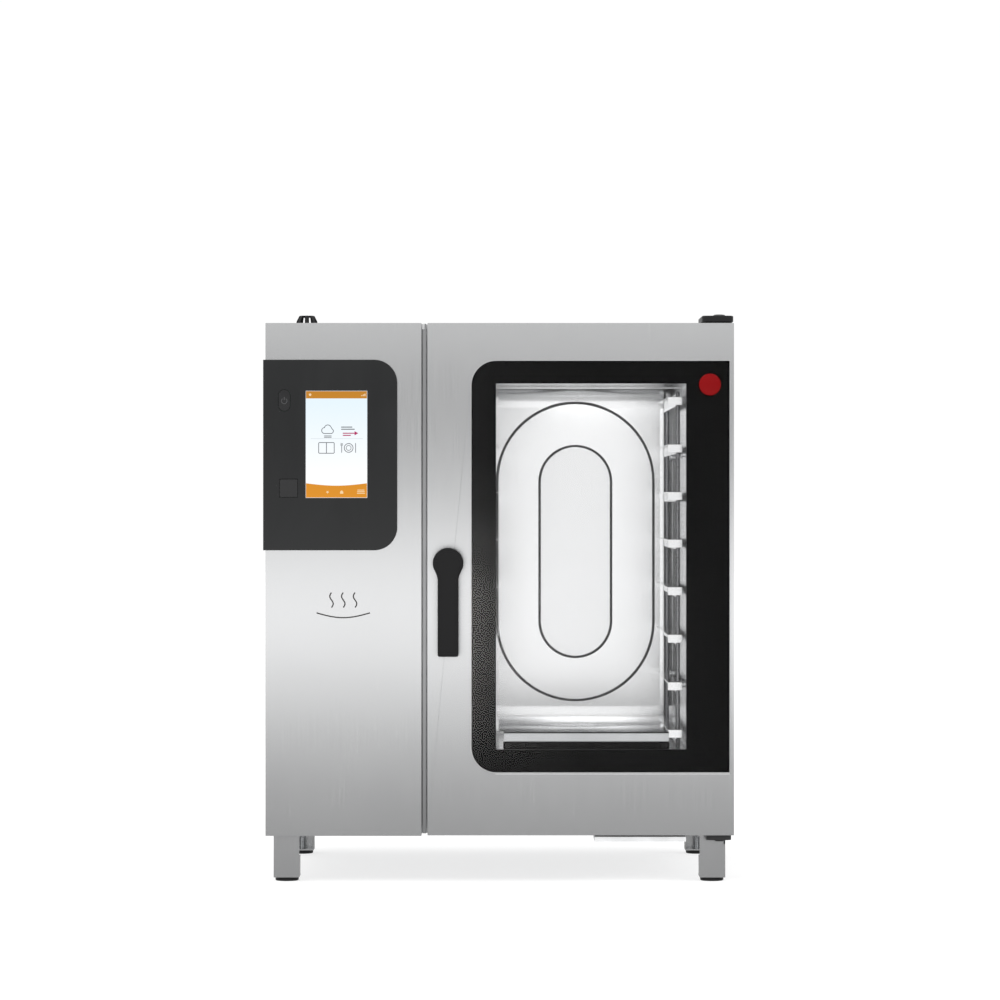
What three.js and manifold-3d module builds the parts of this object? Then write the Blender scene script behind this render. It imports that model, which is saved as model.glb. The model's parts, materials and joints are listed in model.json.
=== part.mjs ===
// Combi steamer oven with a control column on the left and a side-hinged glass door on the right.
// Millimetres. +X is the user's right, +Y runs to the rear, +Z is up.
// The origin is on the floor, under the middle.
import * as THREE from "three";
import { mergeVertices } from "three/addons/utils/BufferGeometryUtils.js";
import Module from "manifold-3d";

const wasm = await Module();
wasm.setup();

// ---------------------------------------------------------------- driving dimensions

const GAP = 0.3; // between pieces that touch
const SHEET = 2; // casing sheet
const ROUND = 24; // sides on a round piece

// Casing
const HALF_WIDTH = 437.5;
const BODY_LOW = 88;
const BODY_HIGH = 1047;
const FACE_Y = -338; // outer face of the fascia and of the door
const FRAME_Y = -274; // front of the flat frame that the door closes against
const FRAME_DEPTH = 3;
const REAR_Y = 380;
const PIPE_END_Y = 396; // furthest point of the connections on the rear

// Oven chamber, inside faces
const CHAMBER = { left: -95, right: 352, rear: 302, low: 246, high: 944 };
const MOUTH_LEFT = -20; // left edge of the chamber's mouth
const SUCTION_PANEL_X = -27; // chamber side of the fan guard

// Control column
const FASCIA_RIGHT = -146;
const GLASS = { left: -441.5, right: -191, low: 622, high: 978, thick: 5.7, corner: 43 };
const SCREEN = { left: -362, right: -247, low: 720, high: 920 };
const BUTTON = { x: -402, z: 902, wide: 22, high: 40, stroke: 1.5 };
const FLAP = { x: -394, z: 738, size: 33, thick: 1.6, hingeGap: 1.5 };

// Door
const DOOR = { left: -134.6, right: 438.5, low: 89, high: 1047, back: -288, wall: 3 };
const PANE = { left: -54, right: 432, low: 205, high: 978, corner: 48, recess: 2.3, thick: 4 };
const WINDOW = { left: -6.5, right: 350.6, low: 248.7, high: 934 };
const HINGE = { x: 412, y: -316, pin: 6, bore: 6.5 };
const HANDLE = { x: -95.4, z: 598.6, boss: 28.5, grip: 35, reach: 173.6, front: -396, shaft: 8 };
const BADGE = { x: 393.6, z: 932, radius: 20.5 };
const SEAL_WIDTH = 14;

// Air system
const FAN = {
  x: -84, // back disc
  y: 10,
  z: 595,
  radius: 145,
  width: 52,
  sheet: 3,
  blades: 10,
  ringInner: 100,
  hub: 26,
  shaft: 8,
  shaftLength: 110,
};
const COIL = { radius: 168, turns: 3, tube: 4.5, first: -80, last: -36 };

// Racks
const RACK = {
  levels: 8,
  firstLedge: 281, // top face of the lowest ledge
  pitch: 90,
  front: -238,
  rear: 222,
  rod: 4,
  overhang: 14,
  ledge: 16,
  web: 18,
  sheet: 1.5,
  aboveTopLedge: 11,
  leftX: -21,
  rightX: 338,
};

// Legs
const LEG = {
  inner: 376,
  outer: 424,
  low: 7.3,
  sheet: 3,
  deep: 50,
  taper: 8, // the side leans in by this much towards the foot
  lip: 46, // height that the inner side reaches
  frontY: -308,
  rearY: 285,
};
const FOOT = { radius: 22, spindle: 6, spindleTop: 34, bore: 6.4 };

// ---------------------------------------------------------------- looks

const look = (color, roughness, metalness, more = {}) =>
  new THREE.MeshStandardMaterial({ color, roughness, metalness, ...more });
const LOOKS = {
  steel: look(0xc9cbcb, 0.35, 1),
  chamberSteel: look(0xdadcdc, 0.25, 1),
  galvanised: look(0x9aa0a3, 0.5, 1),
  blackGlass: look(0x16181a, 0.1, 0),
  clearGlass: look(0xe8f0f0, 0.03, 0, { transparent: true, opacity: 0.3 }),
  screen: look(0xdfe9f2, 0.3, 0),
  blackPlastic: look(0x1b1c1d, 0.55, 0),
  rubber: look(0x2a2a2b, 0.8, 0),
  red: look(0xc8202a, 0.3, 0),
  board: look(0x1f5c3a, 0.6, 0),
  aluminium: look(0xb4b7b9, 0.45, 1),
  insulation: look(0xd9d2b8, 0.95, 0),
  brass: look(0xb8975a, 0.35, 1),
};

// ---------------------------------------------------------------- solids

// A closed geometry as a solid that can be joined and cut.
function solid(geometry) {
  const bare = geometry.clone();
  bare.deleteAttribute("normal");
  bare.deleteAttribute("uv");
  const merged = mergeVertices(bare, 1e-4);
  return new wasm.Manifold(
    new wasm.Mesh({
      numProp: 3,
      vertProperties: new Float32Array(merged.attributes.position.array),
      triVerts: new Uint32Array(merged.index.array),
    }),
  );
}

function geometryOf(manifold) {
  const mesh = manifold.getMesh();
  const geometry = new THREE.BufferGeometry();
  geometry.setAttribute("position", new THREE.BufferAttribute(mesh.vertProperties, 3));
  geometry.setIndex(new THREE.BufferAttribute(mesh.triVerts, 1));
  geometry.computeVertexNormals();
  return geometry;
}

const join = (first, ...others) => others.reduce((whole, other) => whole.add(other), first);
const cut = (first, ...tools) => tools.reduce((left, tool) => left.subtract(tool), first);

function block(x0, x1, y0, y1, z0, z1) {
  const box = new THREE.BoxGeometry(x1 - x0, y1 - y0, z1 - z0);
  return solid(box.translate((x0 + x1) / 2, (y0 + y1) / 2, (z0 + z1) / 2));
}

// A round bar along one axis; the centre is given by the other two coordinates, in X, Y, Z order.
function bar(axis, radius, from, to, [a, b], sides = ROUND) {
  const round = new THREE.CylinderGeometry(radius, radius, to - from, sides);
  const middle = (from + to) / 2;
  if (axis === "x") return solid(round.rotateZ(Math.PI / 2).translate(middle, a, b));
  if (axis === "y") return solid(round.translate(a, middle, b));
  return solid(round.rotateX(Math.PI / 2).translate(a, b, middle));
}

// A rectangle with its own radius at each corner, drawn anticlockwise.
function rectangle(left, right, low, high, { lowLeft = 0, lowRight = 0, highRight = 0, highLeft = 0 } = {}) {
  const shape = new THREE.Shape();
  const corner = (x, y, radius, start) => {
    if (radius) shape.absarc(x, y, radius, start, start + Math.PI / 2);
    else if (start < 0) shape.moveTo(x, y);
    else shape.lineTo(x, y);
  };
  corner(right - lowRight, low + lowRight, lowRight, -Math.PI / 2);
  corner(right - highRight, high - highRight, highRight, 0);
  corner(left + highLeft, high - highLeft, highLeft, Math.PI / 2);
  corner(left + lowLeft, low + lowLeft, lowLeft, Math.PI);
  return shape;
}

const evenly = (radius) => ({ lowLeft: radius, lowRight: radius, highRight: radius, highLeft: radius });
const leftOnly = (radius) => ({ lowLeft: radius, highLeft: radius });
const rightOnly = (radius) => ({ lowRight: radius, highRight: radius });

const CORNER_STEPS = 8;
const extrude = (shape, depth) =>
  new THREE.ExtrudeGeometry(shape, { depth, bevelEnabled: false, curveSegments: CORNER_STEPS });

// A plate seen from the front: its outline lies in X and Z.
function frontPlate(shape, y0, y1) {
  return solid(extrude(shape, y1 - y0).rotateX(Math.PI / 2).translate(0, y1, 0));
}

// A plate seen from the side: its outline lies in Y and Z.
function sidePlate(shape, x0, x1) {
  const turn = new THREE.Matrix4().makeBasis(
    new THREE.Vector3(0, 1, 0),
    new THREE.Vector3(0, 0, 1),
    new THREE.Vector3(1, 0, 0),
  );
  return solid(extrude(shape, x1 - x0).applyMatrix4(turn).translate(x0, 0, 0));
}

// A plate seen from above: its outline lies in X and Y.
const topPlate = (shape, z0, z1) => solid(extrude(shape, z1 - z0).translate(0, 0, z0));

// A solid of revolution about Z through [radius, height] points that start and end on the axis.
const turned = (points, sides = ROUND) =>
  solid(new THREE.LatheGeometry(points.map(([r, z]) => new THREE.Vector2(r, z)), sides).rotateX(Math.PI / 2));

// A tube along a smooth path.
function tube(points, radius, steps, sides = 8) {
  const ring = new THREE.Shape();
  for (let i = 0; i < sides; i++) {
    const angle = (2 * Math.PI * i) / sides;
    const [x, y] = [radius * Math.cos(angle), radius * Math.sin(angle)];
    if (i) ring.lineTo(x, y);
    else ring.moveTo(x, y);
  }
  const path = new THREE.CatmullRomCurve3(points.map((p) => new THREE.Vector3(...p)), false, "catmullrom", 0.5);
  return solid(new THREE.ExtrudeGeometry(ring, { steps, bevelEnabled: false, extrudePath: path }));
}

function piece(parent, name, material, manifold) {
  const mesh = new THREE.Mesh(geometryOf(manifold), material);
  mesh.name = name;
  parent.add(mesh);
  return mesh;
}

function groupIn(parent, x = 0, y = 0, z = 0) {
  const child = new THREE.Group();
  child.position.set(x, y, z);
  parent.add(child);
  return child;
}

const group = new THREE.Group();
const cabinet = groupIn(group);

// ---------------------------------------------------------------- casing

const VENT = { x: -368, y: -180, radius: 14 };
const DRAIN = { x: 130, y: 10, radius: 24, z: 170 };
const WATER = { x: -350, z: 150, radius: 13 };
const GLAND = { x: -405, z: 150, radius: 11 };
const PANEL_FRONT = FRAME_Y + GAP;

const WEEP_HOLE = { radius: 6, x: 0, y: 120 };
piece(
  cabinet,
  "base_pan",
  LOOKS.galvanised,
  cut(
    block(-HALF_WIDTH, HALF_WIDTH, PANEL_FRONT, REAR_Y, BODY_LOW, BODY_LOW + SHEET),
    bar("z", WEEP_HOLE.radius, BODY_LOW - 1, BODY_LOW + SHEET + 1, [WEEP_HOLE.x, WEEP_HOLE.y]),
  ),
);

const INSIDE_LOW = BODY_LOW + SHEET + GAP;
const INSIDE_HIGH = BODY_HIGH - SHEET - GAP;
for (const [name, x0] of [
  ["left_side_panel", -HALF_WIDTH],
  ["right_side_panel", HALF_WIDTH - SHEET],
])
  piece(cabinet, name, LOOKS.steel, block(x0, x0 + SHEET, PANEL_FRONT, REAR_Y, INSIDE_LOW, INSIDE_HIGH));

const INNER_HALF = HALF_WIDTH - SHEET - GAP;
piece(
  cabinet,
  "rear_panel",
  LOOKS.steel,
  cut(
    block(-INNER_HALF, INNER_HALF, REAR_Y - SHEET, REAR_Y, INSIDE_LOW, INSIDE_HIGH),
    bar("y", DRAIN.radius + 1, REAR_Y - 10, REAR_Y + 10, [DRAIN.x, DRAIN.z]),
    bar("y", WATER.radius + 1, REAR_Y - 10, REAR_Y + 10, [WATER.x, WATER.z]),
    bar("y", GLAND.radius + 1, REAR_Y - 10, REAR_Y + 10, [GLAND.x, GLAND.z]),
  ),
);

piece(
  cabinet,
  "top_panel",
  LOOKS.steel,
  cut(
    block(-HALF_WIDTH, HALF_WIDTH, PANEL_FRONT, REAR_Y, BODY_HIGH - SHEET, BODY_HIGH),
    bar("z", VENT.radius + 1, BODY_HIGH - 10, BODY_HIGH + 10, [VENT.x, VENT.y]),
  ),
);

const FRAME_BACK = FRAME_Y + FRAME_DEPTH;
const BAY = { left: -420, right: -190, low: 160, high: 980 }; // opening behind the control column
piece(
  cabinet,
  "front_frame",
  LOOKS.steel,
  cut(
    block(-INNER_HALF, INNER_HALF, FRAME_Y, FRAME_BACK, INSIDE_LOW, INSIDE_HIGH),
    block(MOUTH_LEFT, CHAMBER.right, FRAME_Y - 5, FRAME_BACK + 5, CHAMBER.low, CHAMBER.high),
    block(BAY.left, BAY.right, FRAME_Y - 5, FRAME_BACK + 5, BAY.low, BAY.high),
  ),
);

// The vent's cap: a dome on the roof with upright slots round it.
const VENT_CAP = { radius: 22, top: 1068, slots: 12, slotWide: 4, slotDeep: 5 };
const capBase = BODY_HIGH + GAP;
let cap = turned([
  [0, capBase],
  [VENT_CAP.radius, capBase],
  [VENT_CAP.radius, capBase + 4],
  [VENT_CAP.radius - 2.5, capBase + 15],
  [VENT_CAP.radius - 7, VENT_CAP.top - 1.5],
  [VENT_CAP.radius - 12, VENT_CAP.top],
  [0, VENT_CAP.top],
]);
for (let i = 0; i < VENT_CAP.slots; i++) {
  const slot = new THREE.BoxGeometry(VENT_CAP.slotDeep * 2, VENT_CAP.slotWide, 10);
  slot.translate(VENT_CAP.radius, 0, capBase + 9).rotateZ((2 * Math.PI * i) / VENT_CAP.slots);
  cap = cut(cap, solid(slot));
}
piece(cabinet, "vent_cap", LOOKS.blackPlastic, cap).position.set(VENT.x, VENT.y, 0);

// ---------------------------------------------------------------- control column

const FASCIA_BACK = FRAME_Y - GAP;
const GLASS_BACK = FACE_Y - GAP;
const GLASS_FRONT = GLASS_BACK - GLASS.thick;
const stadium = (x, z, wide, high) =>
  rectangle(x - wide / 2, x + wide / 2, z - high / 2, z + high / 2, evenly(wide / 2 - 0.01));

piece(
  cabinet,
  "front_fascia",
  LOOKS.steel,
  cut(
    block(-HALF_WIDTH, FASCIA_RIGHT, FACE_Y, FASCIA_BACK, BODY_LOW, BODY_HIGH),
    block(
      -HALF_WIDTH + SHEET,
      FASCIA_RIGHT - SHEET,
      FACE_Y + SHEET,
      FASCIA_BACK + 5,
      BODY_LOW + SHEET,
      BODY_HIGH - SHEET,
    ),
    block(SCREEN.left - 8, SCREEN.right + 8, FACE_Y - 5, FACE_Y + 5, SCREEN.low - 8, SCREEN.high + 8),
    frontPlate(stadium(BUTTON.x, BUTTON.z, BUTTON.wide + 4, BUTTON.high + 4), FACE_Y - 5, FACE_Y + 5),
  ),
);

const flapLow = FLAP.z - FLAP.size / 2;
const flapHigh = FLAP.z + FLAP.size / 2;
const flapLeft = FLAP.x - FLAP.size / 2;
const flapRight = FLAP.x + FLAP.size / 2;
const POCKET_BACK = GLASS_FRONT + FLAP.thick + 1;
piece(
  cabinet,
  "control_glass",
  LOOKS.blackGlass,
  cut(
    frontPlate(
      rectangle(GLASS.left, GLASS.right, GLASS.low, GLASS.high, rightOnly(GLASS.corner)),
      GLASS_FRONT,
      GLASS_BACK,
    ),
    block(SCREEN.left, SCREEN.right, GLASS_FRONT - 5, GLASS_BACK + 5, SCREEN.low, SCREEN.high),
    frontPlate(stadium(BUTTON.x, BUTTON.z, BUTTON.wide + 1, BUTTON.high + 1), GLASS_FRONT - 5, GLASS_BACK + 5),
    block(flapLeft - 1, flapRight + 1, GLASS_FRONT - 5, POCKET_BACK, flapLow - 1, flapHigh + FLAP.hingeGap),
    block(FLAP.x - 7, FLAP.x + 7, GLASS_FRONT - 5, GLASS_BACK - 1, FLAP.z - 4, FLAP.z + 4),
  ),
);

piece(
  cabinet,
  "touch_screen",
  LOOKS.screen,
  join(
    block(
      SCREEN.left + GAP,
      SCREEN.right - GAP,
      GLASS_FRONT + 0.4,
      FACE_Y,
      SCREEN.low + GAP,
      SCREEN.high - GAP,
    ),
    block(SCREEN.left - 5, SCREEN.right + 5, FACE_Y, FACE_Y + 10, SCREEN.low - 5, SCREEN.high + 5),
  ),
);

// The board stands behind the display, with its parts on the rear: [left, right, low, high, height off the board].
const BOARD = { left: -425, right: -165, low: 640, high: 960, front: -318, back: -316 };
const BOARD_PARTS = [
  [-420, -385, 660, 700, 12], // connector
  [-350, -300, 900, 940, 16], // transformer
  [-260, -200, 660, 690, 10], // relays
];
piece(
  cabinet,
  "control_board",
  LOOKS.board,
  join(
    block(BOARD.left, BOARD.right, BOARD.front, BOARD.back, BOARD.low, BOARD.high),
    ...BOARD_PARTS.map(([x0, x1, z0, z1, deep]) => block(x0, x1, BOARD.back, BOARD.back + deep, z0, z1)),
  ),
);

// The button's centre is its group's origin, on the front face of the glass.
const buttonGroup = groupIn(cabinet, BUTTON.x, GLASS_FRONT, BUTTON.z);
piece(
  buttonGroup,
  "power_button",
  LOOKS.blackPlastic,
  join(
    frontPlate(stadium(0, 0, BUTTON.wide, BUTTON.high), 0, GLASS.thick + 8),
    bar("y", 3, GLASS.thick + 7, GLASS.thick + 16, [0, 0], 12),
  ),
);

// The flap hangs from an axis along its top edge.
const flapGroup = groupIn(cabinet, FLAP.x, GLASS_FRONT + FLAP.thick / 2, flapHigh);
piece(
  flapGroup,
  "usb_flap",
  LOOKS.rubber,
  frontPlate(
    rectangle(-FLAP.size / 2, FLAP.size / 2, -FLAP.size, 0, evenly(3)),
    -FLAP.thick / 2 + 0.1,
    FLAP.thick / 2,
  ),
);

// ---------------------------------------------------------------- chamber

const CH = CHAMBER;
const CHAMBER_FRONT = FRAME_BACK + GAP;
const CHAMBER_BACK = CH.rear + SHEET;
const LAMP = { x: 240, y: -205, radius: 32 };
piece(
  cabinet,
  "cavity_floor",
  LOOKS.chamberSteel,
  cut(
    block(CH.left - SHEET, CH.right + SHEET, CHAMBER_FRONT, CHAMBER_BACK, CH.low - SHEET, CH.low),
    bar("z", DRAIN.radius, CH.low - 10, CH.low + 10, [DRAIN.x, DRAIN.y]),
  ),
);
piece(
  cabinet,
  "cavity_ceiling",
  LOOKS.chamberSteel,
  cut(
    block(CH.left - SHEET, CH.right + SHEET, CHAMBER_FRONT, CHAMBER_BACK, CH.high, CH.high + SHEET),
    bar("z", LAMP.radius + 1, CH.high - 10, CH.high + 10, [LAMP.x, LAMP.y]),
  ),
);

const WALL_LOW = CH.low + GAP;
const WALL_HIGH = CH.high - GAP;
const VENT_PIPE_Z = 885;
const STEAM = { y: 150, z: 800, radius: 11, x: -360 };
const TAILS = [0, 16].map((drop) => ({ y: FAN.y, z: FAN.z - COIL.radius - drop }));
piece(
  cabinet,
  "cavity_left_wall",
  LOOKS.chamberSteel,
  cut(
    block(CH.left - SHEET, CH.left, CHAMBER_FRONT, CHAMBER_BACK, WALL_LOW, WALL_HIGH),
    bar("x", FAN.shaft + 5, CH.left - 10, CH.left + 10, [FAN.y, FAN.z]),
    bar("x", VENT.radius + 1, CH.left - 10, CH.left + 10, [VENT.y, VENT_PIPE_Z]),
    bar("x", STEAM.radius + 1, CH.left - 10, CH.left + 10, [STEAM.y, STEAM.z]),
    ...TAILS.map((tail) => bar("x", COIL.tube + 5, CH.left - 10, CH.left + 10, [tail.y, tail.z], 12)),
  ),
);
piece(
  cabinet,
  "cavity_right_wall",
  LOOKS.chamberSteel,
  block(CH.right, CH.right + SHEET, CHAMBER_FRONT, CHAMBER_BACK, WALL_LOW, WALL_HIGH),
);
piece(
  cabinet,
  "cavity_rear_wall",
  LOOKS.chamberSteel,
  block(CH.left + GAP, CH.right - GAP, CH.rear, CHAMBER_BACK, WALL_LOW, WALL_HIGH),
);

// A stadium-shaped plate on the rear wall, with a raised smaller stadium in its middle.
const BAFFLE = { x: 156, z: 611, half: 163, tall: 301, innerHalf: 75.5, innerTall: 215 };
const stadiumAt = (half, tall) => stadium(BAFFLE.x, BAFFLE.z, 2 * half, 2 * tall);
piece(
  cabinet,
  "rear_baffle_plate",
  LOOKS.chamberSteel,
  join(
    frontPlate(stadiumAt(BAFFLE.half, BAFFLE.tall), CH.rear - GAP - 4, CH.rear - GAP),
    frontPlate(stadiumAt(BAFFLE.innerHalf, BAFFLE.innerTall), CH.rear - GAP - 7, CH.rear - GAP - 4),
  ),
);

const INTAKE_RADIUS = 105;
const GUARD = { front: -255, rear: 285, low: 262, high: 928 };
const GRILLE_BARS = [-70, -35, 0, 35, 70];
piece(
  cabinet,
  "suction_panel",
  LOOKS.chamberSteel,
  join(
    cut(
      block(SUCTION_PANEL_X - SHEET, SUCTION_PANEL_X, GUARD.front, GUARD.rear, GUARD.low, GUARD.high),
      bar("x", INTAKE_RADIUS, SUCTION_PANEL_X - 10, SUCTION_PANEL_X + 10, [FAN.y, FAN.z]),
    ),
    ...GRILLE_BARS.map((z) =>
      block(
        SUCTION_PANEL_X - SHEET,
        SUCTION_PANEL_X,
        FAN.y - INTAKE_RADIUS - 1,
        FAN.y + INTAKE_RADIUS + 1,
        FAN.z + z - 4,
        FAN.z + z + 4,
      ),
    ),
  ),
);

// The lamp's lens fills a round hole in the ceiling.
piece(
  cabinet,
  "cavity_lamp",
  LOOKS.clearGlass,
  join(
    bar("z", LAMP.radius, CH.high - 4, CH.high + 14, [LAMP.x, LAMP.y]),
    bar("z", LAMP.radius + 6, CH.high + SHEET + GAP, CH.high + 10, [LAMP.x, LAMP.y]),
  ),
);

// ---------------------------------------------------------------- air and steam

// The wheel: a back disc with straight radial blades, a front ring, and its shaft through the left wall.
let wheel = join(
  bar("x", FAN.radius, 0, FAN.sheet, [0, 0], 32),
  bar("x", FAN.hub, 0, FAN.width - 10, [0, 0]),
  bar("x", FAN.shaft, -FAN.shaftLength, 5, [0, 0]),
  cut(
    bar("x", FAN.radius, FAN.width - FAN.sheet, FAN.width, [0, 0], 32),
    bar("x", FAN.ringInner, 0, FAN.width + 5, [0, 0], 32),
  ),
);
const BLADE = { inner: 90, outer: FAN.radius - 2 };
for (let i = 0; i < FAN.blades; i++) {
  const blade = new THREE.BoxGeometry(FAN.width - 1, FAN.sheet, BLADE.outer - BLADE.inner);
  blade.translate(FAN.width / 2, 0, (BLADE.outer + BLADE.inner) / 2).rotateX((2 * Math.PI * i) / FAN.blades);
  wheel = join(wheel, solid(blade));
}
const fan = groupIn(cabinet, FAN.x, FAN.y, FAN.z);
piece(fan, "fan_wheel", LOOKS.aluminium, wheel);

const MOTOR = { front: CHAMBER.left - SHEET - GAP, flange: 8, radius: 68, length: 140 };
piece(
  cabinet,
  "fan_motor",
  LOOKS.aluminium,
  cut(
    join(
      bar("x", MOTOR.radius + 22, MOTOR.front - MOTOR.flange, MOTOR.front, [FAN.y, FAN.z]),
      bar("x", MOTOR.radius, MOTOR.front - MOTOR.length, MOTOR.front - MOTOR.flange + 1, [FAN.y, FAN.z]),
    ),
    bar("x", FAN.shaft + 0.6, FAN.x - FAN.shaftLength - 4, MOTOR.front + 5, [FAN.y, FAN.z]),
  ),
);

// The element: rings of tube round the wheel, with both tails out through the left wall.
const COIL_STEPS = 20; // points in a turn
const coilPath = [-22, -12, -2, 6].map((x) => [CHAMBER.left + x, TAILS[0].y, TAILS[0].z]);
for (let i = 1; i < COIL_STEPS * COIL.turns; i++) {
  const along = i / (COIL_STEPS * COIL.turns);
  const angle = -Math.PI / 2 - 2 * Math.PI * COIL.turns * along;
  coilPath.push([
    COIL.first + (COIL.last - COIL.first) * along,
    FAN.y + COIL.radius * Math.cos(angle),
    FAN.z + COIL.radius * Math.sin(angle),
  ]);
}
coilPath.push(
  [COIL.last + 2, FAN.y, TAILS[0].z - 2],
  [COIL.last + 2, FAN.y, TAILS[1].z],
  [COIL.last - 12, FAN.y, TAILS[1].z],
  [CHAMBER.left - 22, FAN.y, TAILS[1].z],
);
piece(cabinet, "heating_coil", LOOKS.galvanised, tube(coilPath, COIL.tube, COIL_STEPS * (COIL.turns + 1), 6));

const BOILER = { left: -425, right: -300, front: 60, rear: 300, low: 130, high: 480 };
piece(
  cabinet,
  "steam_boiler",
  LOOKS.steel,
  cut(
    block(BOILER.left, BOILER.right, BOILER.front, BOILER.rear, BOILER.low, BOILER.high),
    block(
      BOILER.left + SHEET,
      BOILER.right - SHEET,
      BOILER.front + SHEET,
      BOILER.rear - SHEET,
      BOILER.low + SHEET,
      BOILER.high - SHEET,
    ),
    bar("z", STEAM.radius + 1, BOILER.high - 10, BOILER.high + 10, [STEAM.x, STEAM.y]),
  ),
);

// A pipe with one right-angled bend.
const elbow = (first, second, radius, [x, y, z]) =>
  join(first, second, solid(new THREE.SphereGeometry(radius, 16, 10).translate(x, y, z)));
piece(
  cabinet,
  "steam_pipe",
  LOOKS.steel,
  elbow(
    bar("z", STEAM.radius, BOILER.high - 5, STEAM.z, [STEAM.x, STEAM.y], 16),
    bar("x", STEAM.radius, STEAM.x, CHAMBER.left + 6, [STEAM.y, STEAM.z], 16),
    STEAM.radius,
    [STEAM.x, STEAM.y, STEAM.z],
  ),
);
piece(
  cabinet,
  "vent_pipe",
  LOOKS.steel,
  elbow(
    bar("z", VENT.radius, VENT_PIPE_Z, BODY_HIGH - 0.5, [VENT.x, VENT.y], 16),
    bar("x", VENT.radius, VENT.x, CHAMBER.left + 4, [VENT.y, VENT_PIPE_Z], 16),
    VENT.radius,
    [VENT.x, VENT.y, VENT_PIPE_Z],
  ),
);

// ---------------------------------------------------------------- services

piece(
  cabinet,
  "drain_pipe",
  LOOKS.galvanised,
  elbow(
    bar("z", DRAIN.radius, DRAIN.z, CH.low - SHEET - GAP, [DRAIN.x, DRAIN.y]),
    bar("y", DRAIN.radius, DRAIN.y, PIPE_END_Y, [DRAIN.x, DRAIN.z]),
    DRAIN.radius,
    [DRAIN.x, DRAIN.y, DRAIN.z],
  ),
);
const STRAINER = { radius: 46, thick: 4 };
piece(
  cabinet,
  "drain_strainer",
  LOOKS.chamberSteel,
  turned([
    [0, CH.low + GAP],
    [STRAINER.radius, CH.low + GAP],
    [STRAINER.radius - 2, CH.low + STRAINER.thick - 1],
    [0, CH.low + STRAINER.thick],
  ]),
).position.set(DRAIN.x, DRAIN.y, 0);

piece(
  cabinet,
  "water_inlet",
  LOOKS.brass,
  join(
    block(WATER.x - 22, WATER.x + 22, REAR_Y - 62, REAR_Y - 20, WATER.z - 22, WATER.z + 22),
    bar("y", WATER.radius, REAR_Y - 25, PIPE_END_Y, [WATER.x, WATER.z]),
    bar("y", WATER.radius + 5, REAR_Y + GAP, REAR_Y + 5, [WATER.x, WATER.z], 6),
  ),
);
piece(
  cabinet,
  "cable_gland",
  LOOKS.blackPlastic,
  join(
    bar("y", GLAND.radius, REAR_Y - 14, PIPE_END_Y - 2, [GLAND.x, GLAND.z]),
    bar("y", GLAND.radius + 5, REAR_Y + GAP, REAR_Y + 7, [GLAND.x, GLAND.z], 6),
  ),
);
// A carrier plate on the left wall, with the contactors above and the fuses below.
const CARRIER = { left: -430, right: -424, front: -150, rear: 40, low: 180, high: 620 };
piece(
  cabinet,
  "power_unit",
  LOOKS.blackPlastic,
  join(
    block(CARRIER.left, CARRIER.right, CARRIER.front, CARRIER.rear, CARRIER.low, CARRIER.high),
    block(CARRIER.right - 0.5, -350, -120, 20, 420, 600),
    block(CARRIER.right - 0.5, -370, -130, 20, 200, 380),
  ),
);

const PACKING = { side: 6, thick: 40, fromCeiling: 18, fromWall: 5 };
piece(
  cabinet,
  "insulation_right",
  LOOKS.insulation,
  block(CH.right + 4, INNER_HALF - PACKING.side, FRAME_BACK + 4, CH.rear, CH.low, CH.high),
);
piece(
  cabinet,
  "insulation_top",
  LOOKS.insulation,
  block(
    CH.left,
    INNER_HALF - PACKING.side,
    FRAME_BACK + 4,
    CH.rear,
    CH.high + PACKING.fromCeiling,
    CH.high + PACKING.fromCeiling + PACKING.thick,
  ),
);
piece(
  cabinet,
  "insulation_rear",
  LOOKS.insulation,
  block(
    CH.left,
    CH.right,
    CH.rear + PACKING.fromWall,
    CH.rear + PACKING.fromWall + PACKING.thick,
    CH.low,
    CH.high,
  ),
);

// ---------------------------------------------------------------- hinge brackets, seal, catch

const BRACKET_TOP = { left: 379, right: 438, front: -335, rear: -205, thick: 12, lift: 2 };
const BRACKET_LOW = { left: 387, right: 434, front: -335, rear: -220, thick: 8 };
const PIN_LENGTH = 34;
const bracketOutline = ({ left, right, front, rear }) =>
  rectangle(left, right, front, rear, { lowLeft: 12, lowRight: 12 });

const topLow = BODY_HIGH + BRACKET_TOP.lift;
piece(
  cabinet,
  "hinge_bracket_top",
  LOOKS.blackPlastic,
  join(
    topPlate(bracketOutline(BRACKET_TOP), topLow, topLow + BRACKET_TOP.thick),
    block(BRACKET_TOP.left, BRACKET_TOP.right, FRAME_Y + 6, BRACKET_TOP.rear, BODY_HIGH + GAP, topLow + 1),
    bar("z", HINGE.pin, BODY_HIGH - PIN_LENGTH, topLow + 1, [HINGE.x, HINGE.y]),
  ),
);
const lowBracketTop = BODY_LOW - GAP;
piece(
  cabinet,
  "hinge_bracket_bottom",
  LOOKS.galvanised,
  join(
    topPlate(bracketOutline(BRACKET_LOW), lowBracketTop - BRACKET_LOW.thick, lowBracketTop),
    bar("z", HINGE.pin, lowBracketTop - 1, BODY_LOW + PIN_LENGTH, [HINGE.x, HINGE.y]),
    bar("z", HINGE.pin + 5, lowBracketTop - 1, DOOR.low - GAP, [HINGE.x, HINGE.y]),
    bar("z", 9, lowBracketTop - BRACKET_LOW.thick - 3, lowBracketTop - 1, [HINGE.x, HINGE.y], 6),
  ),
);

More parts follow.
